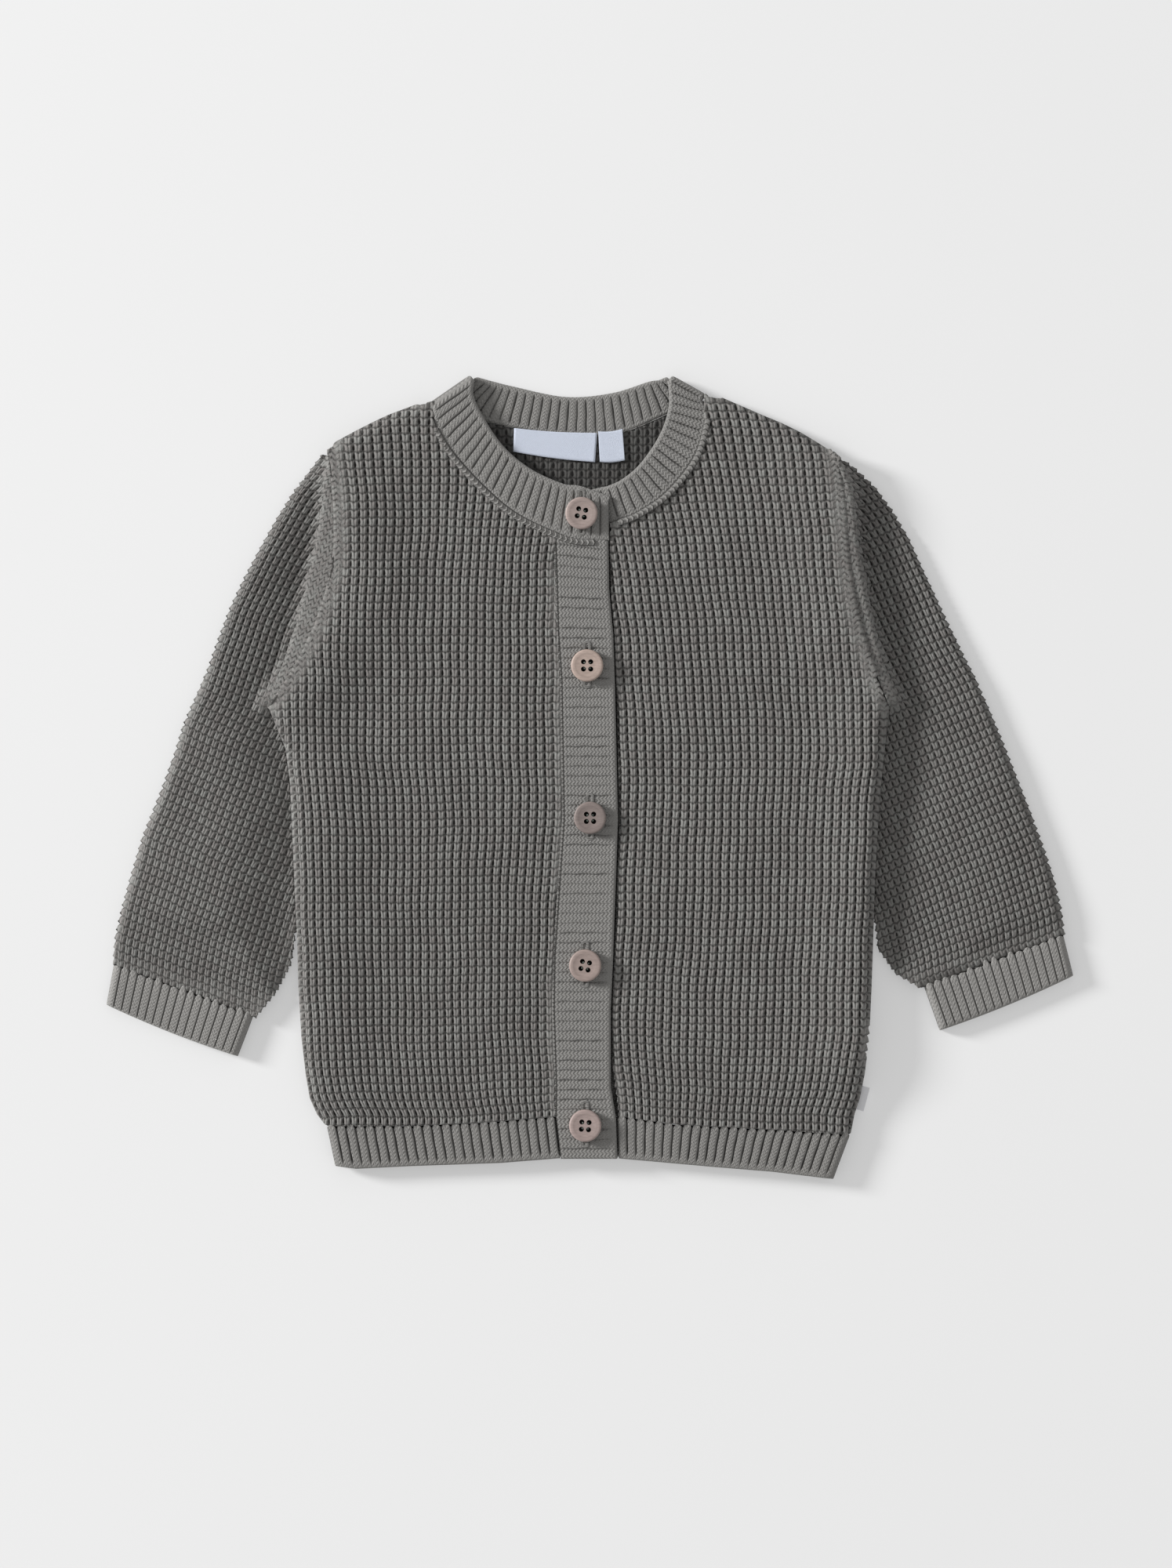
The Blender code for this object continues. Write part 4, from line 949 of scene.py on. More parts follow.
def sleeve_form(side):
    """Lifts the fold beside the armhole, and sinks the sleeve at its foot and beside the body."""
    body = Solid(f"{side}_front")
    cuff = CUFFS[side]
    start = np.array(cuff.outer_top)
    arm = (start + np.array(cuff.inner_top) - np.array(cuff.outer_end) - np.array(cuff.inner_end))
    arm /= np.linalg.norm(arm)

    def shaped(xs, ys, level, used):
        swell = SWELL[side]
        level = drawn_back(xs, ys, level, used, swell.inset)
        fold = eased(*FOLD_LEVELS, level)
        folded = used & (level > FOLD_START)
        tree = points_tree([(x, y, 0.0) for x, y in zip(xs[folded], ys[folded])])
        away = np.full(xs.shape, FAR)
        beside = np.full(xs.shape, FAR)
        for row, col in zip(*np.nonzero(used)):
            x, y = xs[row, col], ys[row, col]
            beside[row, col] = body.beside(x, y, 5.0)
            away[row, col] = min(tree.find((x, y, 0.0))[2], beside[row, col])
        out = np.clip(away / swell.slope, 0.0, 1.0)
        steep = 1.0 - (1.0 - out) ** 1.5
        rising = between(eased(0.0, 1.0, out), steep, eased(-45.0, -8.0, ys))
        sloped = between(-swell.valley, swell.lift * eased(2.4, 4.8, level), rising)
        waves = soft_waves(xs + 7.0, ys) * eased(4.2, 5.4, level)
        shaped_level = level + (sloped + waves) * (1.0 - fold)
        shaped_level += (swell.fold - swell.fold_slope * beside) * fold
        if SLEEVE_CAP[side]:
            lowest, width, slope = SLEEVE_CAP[side]
            cap = lowest + slope * np.maximum(0.0, away - width) + waves
            shaped_level = between(np.minimum(shaped_level, cap), shaped_level, fold)
        at_seam = FRONT_TOP + side_lift(side, 0.0, ys) - 0.3 * beside
        by_arm = eased(ARMHOLE_FOOT - 2.0, ARMHOLE_FOOT + 8.0, ys) * (beside < 6.0)
        by_arm = by_arm * (1.0 - eased(*SHOULDER_FADE, ys))
        shaped_level = between(shaped_level, np.maximum(shaped_level, at_seam), by_arm)
        above_cuff = np.maximum(0.0, (xs - start[0]) * arm[0] + (ys - start[1]) * arm[1])
        puffed = CUFF_TOP + CUFF_STEP + PUFF_RISE * eased(-0.05, 1.0, above_cuff / CUFF_PUFF)
        shaped_level = np.where(above_cuff < CUFF_PUFF, np.minimum(shaped_level, puffed),
                                shaped_level)
        end_level = np.minimum(level + 1.3, CUFF_TOP + CUFF_STEP) * (above_cuff < 7.0)
        shaped_level = np.maximum(shaped_level, end_level)
        shaped_level = np.maximum(shaped_level, np.minimum(level, SLEEVE_LOW))
        loose = between(SLEEVE_OPEN[side], SLEEVE_TOP_OPEN[side], eased(10.0, 60.0, ys))
        near_seam = np.maximum(eased(6.0, 6.8, level), by_arm * eased(6.0, 3.0, beside))
        loose = between(CUFF_OPEN, loose, eased(1.0, 7.0, above_cuff))
        openness = between(loose, FOLD_OPEN, near_seam)
        return shaped_level, openness

    return shaped


# ---------------------------------------------------------------- ribbed trim
def rib_strip(name, section, count, wall, trim, mesh_rows):
    """A ribbed strip whose ribs run from its seam to its free edge.

    section gives, for a share of the run, the seam and the free end of a rib, the way its face
    looks, and how far ribs are raised on that face and on the other one. trim says how wide the
    strip is plain at either end, how deep its grooves are, how far they stray, and how far its
    ribs reach over the knit that they grow from.
    """
    shares = [(n + part) / count for n in range(count) for part in RIB_COLUMNS] + [1.0]
    length = np.linalg.norm(section(0.5)[1] - section(0.5)[0])
    inner = np.linspace(1.3, length - 1.3, mesh_rows)
    reach = np.concatenate([RIB_EDGE, inner, [length - d for d in reversed(RIB_EDGE)]])
    chance = np.random.default_rng(len(name) * 7 + count)
    tongues = trim.tongue * chance.uniform(0.25, 1.0, count + 1)
    depths = chance.uniform(1.0 - trim.uneven, 1.0, count + 1)
    phases = chance.uniform(0.0, 6.0, count + 1)
    outer = []
    under = []
    uvs = []
    groove_shades = []
    for share in shares:
        seam, free, way, face_rise, back_rise = section(share)
        onward = section(min(1.0, share + 0.002))
        along = onward[0] + onward[1] - seam - free
        if share > 0.997:
            back = section(share - 0.002)
            along = seam + free - back[0] - back[1]
        along = along / max(np.linalg.norm(along), 1e-9)
        part = share * count
        near_groove = 0.5 - abs(part - math.floor(part) - 0.5)
        groove_depth = trim.depth * depths[round(part)]
        rise = float(eased(0.0, GROOVE_HALF, near_groove))
        rise *= 0.86 + 0.14 * math.sin(math.pi * near_groove)
        tongue = tongues[int(min(part, count - 0.5))] * float(eased(0.05, 0.4, near_groove))
        notch = GROOVE_NOTCH * (1.0 - float(eased(0.04, 0.3, near_groove)))
        ends = float(eased(0.0, 1.5, min(part, count - part)))
        up_run = (seam - free) / length
        for d in reach:
            fade = float(eased(0.0, 1.0, (length - d - trim.plain_free) / 0.9))
            fade *= float(eased(0.0, 1.0, (d - trim.plain_seam) / 0.9))
            lift = between(RIB_LEVEL, rise - GROOVE_CUT * (1.0 - rise), fade * groove_depth)
            near_end = length - d if trim.joined else min(d, length - d)
            half = 0.5 * wall * float(rolled(np.array(near_end + 0.02), 0.85))
            stray = trim.stray * ends * math.sin(0.85 * d + phases[int(part)]) * fade
            middle = seam + (free - seam) * (d / length) + along * stray
            raised = RIB_RISE * lift * float(rolled(np.array(near_end), 1.2))
            top = middle + way * (half + face_rise * raised)
            below = middle - way * (half + back_rise * raised)
            if trim.tongue:
                near_seam = max(0.0, 1.0 - d / TONGUE_REACH)
                top = top + up_run * (tongue - notch) * near_seam
                top = top + way * trim.seam_lift * near_seam ** 2
                top = top - way * 0.35 * tongue * near_seam ** 3
                if d < 0.2:
                    below = below + up_run * tongue * near_seam + way * (
                        0.8 * wall + trim.seam_lift) * float(eased(0.0, 0.5, tongue))
            outer.append(top)
            under.append(below)
            uvs.append((part, d / HEM_PITCH))
            # groove_shades is painted shade in the grooves and on the seam edge of a band
            at_edge = share > 0.999 if trim.tongue else d < 0.2
            groove_shades.append(max((1.0 - rise) * fade * groove_depth, SEAM_SHADE * at_edge))
    piece = make_object(name, np.array(outer + under), wall_faces(len(shares), len(reach)),
                        uvs + uvs, {"groove": groove_shades + groove_shades})
    facing_out(piece)
    return piece


def hem_section(side):
    levels = (PLACKET[-2].y, PLACKET[-1].y)
    if side == "right":
        outer = (HEM_START[0].x, HEM_END[0].x)
        inner = [placket_seam(y) - SEAM_GAP for y in levels]
    else:
        outer = (HEM_START[-1].x, HEM_END[-1].x)
        inner = [placket_free_edge(y) + 2.0 * SEAM_GAP for y in levels]
    count = round(abs(outer[0] - inner[0]) / HEM_PITCH)
    up = np.array([0.0, 0.0, 1.0])

    def section(share):
        ends = []
        for row, line in enumerate((HEM_START, HEM_END)):
            x = between(outer[row], inner[row], share)
            y = read(line, x, "y", "x")
            top = between(HEM_EDGE_TOP, HEM_TOP, float(rolled(abs(x - outer[row]), BODY_ROLL)))
            ends.append(np.array([x, y, top - RIB_WALL / 2.0]))
        return ends[0], ends[1], up, 1.0, 0.0

    return section, count


def back_hem_section():
    up = np.array([0.0, 0.0, -1.0])
    count = round((HEM_START[-1].x - HEM_START[0].x) / HEM_PITCH)

    def section(share):
        ends = []
        for line, rise in ((HEM_START, 0.0), (HEM_END, 0.3)):
            x = between(line[0].x + 0.4, line[-1].x - 0.4, share)
            ends.append(np.array([x, read(line, x, "y", "x") + rise, BACK_HEM_WALL / 2.0 + 0.1]))
        return ends[0], ends[1], up, 0.35, 0.0

    return section, count


def band_section(top_y, left_inset, right_inset, floor, wall, rise_at_seam=0.0):
    end_y = PLACKET[-1].y
    count = round((top_y - end_y) / PLACKET_PITCH)
    up = np.array([0.0, 0.0, 1.0])

    def section(share):
        y = between(end_y, top_y, share)
        risen = y + rise_at_seam * share ** 12
        seam = np.array([placket_seam(y) + left_inset, risen, floor + wall / 2.0])
        free = np.array([placket_free_edge(y) + right_inset, y, floor + wall / 2.0])
        return seam, free, up, 1.0, 0.0

    return section, count


def fold_axis(fold, upper_z, lower_z):
    """The line that the band folds round, inside the edge that shows from above."""
    run = Vector((fold.free_x - fold.seam_x, fold.free_y - fold.seam_y))
    outward = Vector((-run.y, run.x)).normalized()
    if outward.y < 0:
        outward = -outward
    radius = (upper_z - lower_z) / 2.0
    inset = outward * (radius + (RIB_WALL + RIB_RISE) / 2.0)
    axis = Band(fold.seam_x - inset.x, fold.seam_y - inset.y,
                fold.free_x - inset.x, fold.free_y - inset.y, (upper_z + lower_z) / 2.0)
    return axis, outward, radius


def neck_sections():
    """Sections along the neckband, each with the way its upper face looks."""
    right_fold = fold_axis(NECK_FOLD_RIGHT, NECK_RIGHT[-1].middle_z, NECK_BACK[0].middle_z)
    left_fold = fold_axis(NECK_FOLD_LEFT, NECK_LEFT[0].middle_z, NECK_BACK[-1].middle_z)
    up = Vector((0.0, 0.0, 1.0))
    sections = []

    def add_run(rows, way):
        for n in range(61):
            sections.append((smooth(rows, n / 60), way))

    def add_fold(fold, over):
        axis, outward, radius = fold
        for n in range(1, NECK_FOLD_STEPS):
            angle = math.pi * n / NECK_FOLD_STEPS
            if over < 0:
                angle = math.pi - angle
            way = up * math.cos(angle) + Vector((outward.x, outward.y, 0.0)) * math.sin(angle)
            move = way * radius
            sections.append((Band(axis.seam_x + move.x, axis.seam_y + move.y,
                                  axis.free_x + move.x, axis.free_y + move.y,
                                  axis.middle_z + move.z), way))

    right, _, right_by = right_fold
    left, _, left_by = left_fold
    add_run([*NECK_RIGHT, right._replace(middle_z=right.middle_z + right_by)], up)
    add_fold(right_fold, 1)
    add_run([right._replace(middle_z=right.middle_z - right_by), *NECK_BACK,
             left._replace(middle_z=left.middle_z - left_by)], -up)
    add_fold(left_fold, -1)
    add_run([left._replace(middle_z=left.middle_z + left_by), *NECK_LEFT], up)
    return sections


def neck_section():
    sections = neck_sections()
    middles = [Vector(((row.seam_x + row.free_x) / 2.0, (row.seam_y + row.free_y) / 2.0,
                       row.middle_z)) for row, way in sections]
    reached = [0.0]
    for a, b in zip(middles, middles[1:]):
        reached.append(reached[-1] + (b - a).length)
    count = round(reached[-1] / NECK_PITCH)

    def section(share):
        target = share * reached[-1]
        here = min(int(np.searchsorted(reached, target + 1e-9)) - 1, len(reached) - 2)
        here = max(here, 0)
        span = reached[here + 1] - reached[here]
        t = 0.0 if span == 0.0 else (target - reached[here]) / span
        row_a, way_a = sections[here]
        row_b, way_b = sections[here + 1]
        row = Band(*[between(a, b, t) for a, b in zip(row_a, row_b)])
        way = way_a.lerp(way_b, t).normalized()
        fade = way.z ** 2
        face = between(0.5, 1.0, fade) if way.z > 0 else between(0.5, 0.0, fade)
        back = between(0.5, 1.0, fade) if way.z <= 0 else between(0.5, 0.0, fade)
        drop = np.array(way) * (-RIB_RISE / 2.0 if way.z > 0 else RIB_RISE / 2.0) * fade
        seam = np.array([row.seam_x, row.seam_y, row.middle_z]) + drop
        free = np.array([row.free_x, row.free_y, row.middle_z]) + drop
        seam += (seam - free) / np.linalg.norm(seam - free) * NECK_REACH
        return seam, free, np.array(way), face, back

    return section, count


def make_cuff(side, material):
    """A flat tube with ribs on the side that shows and pressed flat below."""
    cuff = CUFFS[side]
    start = [np.array(cuff.outer_top), np.array(cuff.inner_top)]
    end = [np.array(cuff.outer_end), np.array(cuff.inner_end)]
    width = np.linalg.norm(start[1] - start[0])
    length = np.linalg.norm(end[0] - start[0])
    up_run = (start[0] - end[0]) / length
    shares = [(n + part) / CUFF_RIBS for n in range(CUFF_RIBS) for part in RIB_COLUMNS] + [1.0]
    reach = list(np.concatenate([[0.0, 0.35, 0.8], np.linspace(1.4, length - 1.2, 10),
                                 [length - 0.7, length - 0.3, length - 0.08, length]]))
    ring_shares = [(share, True) for share in shares]
    ring_shares += [(share, False) for share in reversed(shares[1:-1:2])]
    chance = np.random.default_rng(11 if side == "right" else 12)
    tongues = CUFF_TONGUE * chance.uniform(0.0, 1.0, CUFF_RIBS + 1)
    walls = [RIB_WALL / width, 1.0 - RIB_WALL / width]
    outer = []
    inner = []
    uvs = []
    groove_shades = []
    for d in reach:
        thin = float(rolled(np.array(length - d + 0.02), 0.8))
        near_seam = max(0.0, 1.0 - d / CUFF_TONGUE_REACH)
        for share, above in ring_shares:
            part = share * CUFF_RIBS
            near_groove = 0.5 - abs(part - math.floor(part) - 0.5)
            rise = float(eased(0.0, CUFF_GROOVE_HALF, near_groove))
            plain = float(eased(0.0, 1.0, (length - d - CUFF_PLAIN) / 0.7))
            lift = between(RIB_LEVEL, rise - CUFF_GROOVE_CUT * (1.0 - rise), plain)
            bulge = CUFF_BULGE * (1.0 - (2.0 * share - 1.0) ** 2) * d / length
            slide = up_run * (SEAM_REACH * 2.0 * near_seam - bulge)
            place = between(between(*start, share), between(*end, share), d / length) + slide
            inward = between(*walls, share)
            inside = between(between(*start, inward), between(*end, inward), d / length) + slide
            edge = min(share, 1.0 - share) * width
            round_up = float(rolled(np.array(edge), CUFF_ROLL))
            if above:
                tongue = tongues[int(part)] * float(eased(0.05, 0.4, near_groove))
                tongue -= CUFF_NOTCH * (1.0 - float(eased(0.04, 0.3, near_groove)))
                place = place + up_run * tongue * near_seam * round_up
                level = CUFF_TOP * between(0.5, 1.0, round_up)
                raised = RIB_RISE * lift * thin + CUFF_SEAM_LIFT * near_seam ** 2
                top = level + raised * round_up
                roof = max(level - RIB_WALL, RIB_WALL + 0.15 + 0.15 * round_up)
                middle = (level + roof) / 2.0
                outer.append([*place, between(middle, top, thin)])
                inner.append([*inside, between(middle, roof, thin)])
            else:
                middle = RIB_WALL / 2.0
                outer.append([*place, between(middle, 0.0, thin)])
                inner.append([*inside, between(middle, RIB_WALL, thin)])
            uvs.append((part if above else 2 * CUFF_RIBS - part, d / HEM_PITCH))
            # painted shade in the cuff's grooves
            groove_shades.append((1.0 - rise) * plain * CUFF_GROOVE_SHADE)
    cols = len(ring_shares)
    size = len(reach) * cols
    faces = tube_faces(len(reach), cols)
    faces += [[size + n for n in (a, d, c, b)] for a, b, c, d in faces]
    for first in (0, size - cols):
        ring = [first + n for n in range(cols)]
        faces += [[a, b, size + b, size + a] for a, b in zip(ring, ring[1:] + ring[:1])]
    piece = make_object(f"{side}_cuff_rib", np.array(outer + inner), faces, uvs + uvs,
                        {"groove": groove_shades + [0.0] * size})
    facing_out(piece)
    finish_piece(piece, material, [f"{side}_cuff"])
    return piece, width, length


# ---------------------------------------------------------------- linked seams
def chain_ridge(name, line, heights, width, rise, pitch, material):
    """A raised row of small chain stitches along a seam."""
    line = np.array(line)
    heights = np.array(heights)
    steps = np.linalg.norm(np.diff(line, axis=0), axis=1)
    reached = np.concatenate([[0.0], np.cumsum(steps)])
    count = max(2, int(reached[-1] / pitch * 5))
    along = np.linspace(0.0, reached[-1], count + 1)
    xs = np.interp(along, reached, line[:, 0])
    ys = np.interp(along, reached, line[:, 1])
    zs = np.interp(along, reached, heights)
    dx = np.gradient(xs)
    dy = np.gradient(ys)
    size = np.hypot(dx, dy)
    side = np.column_stack([-dy / size, dx / size])
    around = [-1.0, -0.8, -0.45, 0.0, 0.45, 0.8, 1.0]
    points = []
    uvs = []
    for n in range(count + 1):
        phase = along[n] / pitch
        end = float(rolled(np.array(min(along[n], reached[-1] - along[n])), 0.8))
        for c in around:
            wave = 0.62 + 0.38 * math.cos(2.0 * math.pi * (phase - 0.35 * abs(c)))
            out = 0.5 * width * c * (0.86 + 0.14 * wave) * max(end, 0.2)
            z = zs[n] + rise * math.sqrt(max(0.0, 1.0 - c * c)) * wave * end
            points.append([xs[n] + side[n, 0] * out, ys[n] + side[n, 1] * out, z])
            uvs.append((phase, 0.5 + 0.5 * c))
        points.append([xs[n], ys[n], zs[n] - CHAIN_SINK])
        uvs.append((phase, 0.5))
    cols = len(around) + 1
    faces = tube_faces(count + 1, cols)
    faces.append(list(range(cols)))
    faces.append([count * cols + n for n in reversed(range(cols))])
    piece = make_object(name, points, faces, uvs)
    facing_out(piece)
    finish_piece(piece, material)


# ---------------------------------------------------------------- shader groups
def sum_of(operation, turned=False):
    """A method of Term that adds the node of an operation, with its terms turned round or not."""
    def method(*terms):
        tree = terms[0].tree
        node = tree.nodes.new("ShaderNodeMath")
        node.operation = operation
        for socket, value in zip(node.inputs, reversed(terms) if turned else terms):
            connect(value, socket)
        return Term(tree, node.outputs[0])

    return method


class Term:
    """A value in a node tree. A sum of terms adds the nodes that work it out."""

    __add__ = sum_of("ADD")
    __radd__ = sum_of("ADD", turned=True)
    __sub__ = sum_of("SUBTRACT")
    __rsub__ = sum_of("SUBTRACT", turned=True)
    __mul__ = sum_of("MULTIPLY")
    __pow__ = sum_of("POWER")
    __abs__ = sum_of("ABSOLUTE")
    sine = sum_of("SINE")
    root = sum_of("SQRT")
    floor = sum_of("FLOOR")
    fraction = sum_of("FRACT")
    least = sum_of("MINIMUM")
    most = sum_of("MAXIMUM")

    def __init__(self, tree, socket):
        self.tree = tree
        self.socket = socket

    def near_whole(self, low, high):
        """1 close to a whole number and 0 away from one, for a fraction."""
        return 1.0 - self.least(1.0 - self).eased(low, high)

    def eased(self, low, high):
        """0 below low, 1 above high, and a soft step between them."""
        return self.through("ShaderNodeMapRange", "Result", {"interpolation_type": "SMOOTHSTEP"},
                            {"From Min": low, "From Max": high, "Value": self})

    def noise(self, scale, detail=2.0, rough=0.5):
        return self.through("ShaderNodeTexNoise", "Fac", {}, {
            "Scale": scale, "Detail": detail, "Roughness": rough, "Vector": self})

    def waves(self, scale, distortion=0.0):
        return self.through("ShaderNodeTexWave", "Fac", {}, {
            "Scale": scale, "Distortion": distortion, "Vector": self})

    def through(self, kind, output, settings, values):
        """The output of a new node with some settings and values."""
        return add_node(self.tree, kind, output, settings, values)

    def split(self):
        """The first two terms of a vector."""
        node = self.tree.nodes.new("ShaderNodeSeparateXYZ")
        connect(self, node.inputs[0])
        return Term(self.tree, node.outputs[0]), Term(self.tree, node.outputs[1])


def connect(value, socket):
    """Gives a socket a term, a number, a colour of three numbers or a place."""
    if isinstance(value, Term):
        value.tree.links.new(value.socket, socket)
    elif isinstance(value, tuple) and socket.type == "RGBA":
        socket.default_value = (*value, 1.0)
    else:
        socket.default_value = value


def add_node(tree, kind, output, settings, values):
    node = tree.nodes.new(kind)
    for key, value in settings.items():
        setattr(node, key, value)
    for key, value in values.items():
        connect(value, node.inputs[key])
    return Term(tree, node.outputs[output])


def vector_of(x, y, z=0.0):
    return x.through("ShaderNodeCombineXYZ", 0, {}, {0: x, 1: y, 2: z})


def new_group(name, inputs, outputs):
    """An empty group, its inputs as terms, and the node that takes its outputs."""
    group = bpy.data.node_groups.new(name, "ShaderNodeTree")
    for key, kind in inputs.items():
        group.interface.new_socket(key, in_out="INPUT", socket_type=kind)
    for key in outputs:
        group.interface.new_socket(key, in_out="OUTPUT", socket_type="NodeSocketFloat")
    start = group.nodes.new("NodeGroupInput")
    end = group.nodes.new("NodeGroupOutput")
    return group, [Term(group, start.outputs[key]) for key in inputs], end.inputs


def waffle_group():
    """Height, painted shade in its gaps, row dips and grooves, and tints of a waffle stitch, from
    places counted in wales and courses.
    """
    group, (place, loose), given = new_group(
        "waffle_stitch", {"Stitch": "NodeSocketVector", "Open": "NodeSocketFloat"},
        ("Height", "Pit", "Tone", "Hue"))
    u, v = place.split()
    closed = 1.0 - loose
    bold = (loose * 1.5).least(1.0)
    u_bent = u + (place.noise(1.3) - 0.5) * 0.2
    middle = abs(u_bent.fraction() - 0.5)
    row = v - middle * 0.4
    t = row.fraction()
    opened = (t ** 0.7 * math.pi).sine()
    gap_at = (0.5 - middle) - (opened * 0.21 - (0.085 + closed * 0.1))
    gap = 1.0 - gap_at.eased(-0.05, 0.1)
    shade = (1.0 - gap_at.eased(0.0, 0.26)) * (0.3 + opened * 0.7)
    dip = t.near_whole(0.0, 0.26)
    groove = (1.0 - middle.eased(0.0, 0.055)) * t.eased(0.25, 0.6)
    high = (t - 0.93) * 0.8
    spot = 1.0 - (middle * middle + high * high).root().eased(0.03, 0.1)
    leg = 1.0 - abs(middle - (0.14 + t * 0.1)).eased(0.0, 0.2)
    fibre = vector_of((middle - t * 0.2) * 9.0, v * 1.6, u_bent.floor()).noise(2.2, 3.0, 0.6)
    height = (leg * 0.42 - dip * 0.32 - groove * 0.3 - spot * 0.3) * bold
    height = height - gap * loose * 0.5 + (fibre - 0.5) * 0.4
    # where the gaps close, the knit is smaller and plainer
    small_u = abs((u_bent * 1.1).fraction() - 0.5)
    small_v = (v * 1.4 - small_u * 1.1).fraction()
    small = small_u.eased(0.2, 0.42) * (1.0 - small_v.eased(0.0, 0.42))
    small = small.most(small_v.near_whole(0.04, 0.32) * 0.8)
    small = small * (0.25 + place.noise(2.7).eased(0.4, 0.56) * 0.75)
    small = small * (closed * (closed * closed))
    tint = u.through("ShaderNodeTexWhiteNoise", "Value", {"noise_dimensions": "2D"},
                     {"Vector": vector_of(u_bent.floor(), row.floor())})
    # fine and pit darken the colour where the knit is sunk: painted shade in the gaps, row dips,
    # grooves, spots and small lines
    fine = (dip * (0.68 + closed * 0.3)).most(groove * 0.45).most(spot * 0.8) * bold
    pit = gap.most(shade * 0.32) * (loose * 1.3).least(1.0)
    connect(height - small * 1.1, given["Height"])
    connect(pit.most(fine.most(small)), given["Pit"])
    connect(tint * 0.5 + fibre * 0.9, given["Tone"])
    connect(tint * 0.15 + place.noise(2.6, 3.0, 0.7) * 0.85, given["Hue"])
    return group


def plain_stitch_group():
    """The small smooth stitches on a rib: two legs a stitch, from places counted in ribs."""
    group, (place,), given = new_group("rib_stitch", {"Stitch": "NodeSocketVector"},
                                       ("Height", "Tone"))
    u, v = place.split()
    middle = abs((u * 2.0).fraction() - 0.5)
    rows = (v * 2.6 - middle * 1.3).fraction()
    legs = 1.0 - abs(rows - 0.5).eased(0.0, 0.5)
    parting = 1.0 - middle.eased(0.0, 0.12)
    fibre = vector_of(u * 9.0, v * 2.4).noise(1.6, 3.0, 0.6)
    connect(legs * 0.5 - parting * 0.25 + (fibre - 0.5) * 0.6, given["Height"])
    connect(fibre * 0.8 + legs * 0.25, given["Tone"])
    return group


def fuzz_group():
    """Soft unevenness of the yarn over the whole cloth."""
    group, (place,), given = new_group("yarn_unevenness", {"Place": "NodeSocketVector"},
                                       ("Tone",))
    connect(place.noise(28.0) * 0.4 + place.noise(1900.0, 3.0, 0.7) * 0.6, given["Tone"])
    return group


def use_group(tree, name, maker, *values):
    """Runs a shared group on some terms, and returns its outputs by name."""
    node = tree.nodes.new("ShaderNodeGroup")
    node.node_tree = bpy.data.node_groups.get(name) or maker()
    for socket, value in zip(node.inputs, values):
        connect(value, socket)
    return {socket.name: Term(tree, socket) for socket in node.outputs}


def stitch_place(tree):
    return add_node(tree, "ShaderNodeUVMap", 0, {"uv_map": "stitches"}, {})


def object_place(tree):
    return add_node(tree, "ShaderNodeTexCoord", "Object", {}, {})


def marked(tree, name):
    return add_node(tree, "ShaderNodeAttribute", "Fac", {"attribute_name": name}, {})


def unevenness(tree):
    return use_group(tree, "yarn_unevenness", fuzz_group, object_place(tree))["Tone"]


def mixed(factor, a, b):
    """A colour between two colours, which are terms or tuples."""
    return factor.through("ShaderNodeMix", 2, {"data_type": "RGBA"}, {0: factor, 6: a, 7: b})


def toned(tone, colour, spread):
    """A colour made darker and lighter by a tone that runs from about 0 to 1."""
    return mixed(tone, tuple(c * (1.0 - spread) for c in colour),
                 tuple(min(1.0, c * (1.0 + spread)) for c in colour))


def lit(colour, light):
    return tuple(c * light for c in colour)


def base_material(name, roughness):
    material = bpy.data.materials.new(name)
    material.use_nodes = True
    shader = material.node_tree.nodes["Principled BSDF"].inputs
    shader["Roughness"].default_value = roughness
    return material, material.node_tree, shader


def material_of(maker, name, *settings):
    """The material with a name, made at its first use."""
    return bpy.data.materials.get(name) or maker(name, *settings)


def bump(shader, height, distance, strength):
    connect(height.through("ShaderNodeBump", 0, {}, {
        "Distance": distance, "Strength": strength, "Height": height}), shader["Normal"])


def sheen(shader):
    shader["Sheen Weight"].default_value = 0.12
    shader["Sheen Roughness"].default_value = 0.6
    shader["Specular IOR Level"].default_value = 0.15


def knit_material(name, light):
    material, tree, shader = base_material(name, 0.92)
    knit = use_group(tree, "waffle_stitch", waffle_group, stitch_place(tree),
                     marked(tree, "open"))
    tone = (knit["Tone"] + unevenness(tree)) * 0.55
    # light scales the yarn and its gap shade, so the materials are lighter and darker copies of one
    # yarn: painted light and shade
    yarn = lit(colours().yarn, light)
    warm, cool = (toned(tone, tuple(c * w for c, w in zip(yarn, tint)), 0.45)
                  for tint in (WARM, COOL))
    face = mixed(knit["Hue"].eased(0.3, 0.7), warm, cool)
    # the Pit mask mixes in pit, which is painted shade deep between the stitches
    connect(mixed(knit["Pit"], face, lit(colours().pit, light)), shader["Base Color"])
    bump(shader, knit["Height"], 0.0009, 0.8)
    sheen(shader)
    return material


def rib_material(name, light):
    material, tree, shader = base_material(name, 0.92)
    knit = use_group(tree, "rib_stitch", plain_stitch_group, stitch_place(tree))
    tone = (knit["Tone"] + unevenness(tree)) * 0.55
    # light scales the yarn into a lighter or darker copy: painted light and shade
    yarn = toned(tone, lit(colours().yarn, light), 0.36)
    # the groove mark mixes in pit: painted shade in the grooves and on seam edges
    colour = mixed(marked(tree, "groove") * 0.93, yarn, tuple(colours().pit))
    connect(colour, shader["Base Color"])
    bump(shader, knit["Height"], 0.0006, 0.8)
    sheen(shader)
    return material


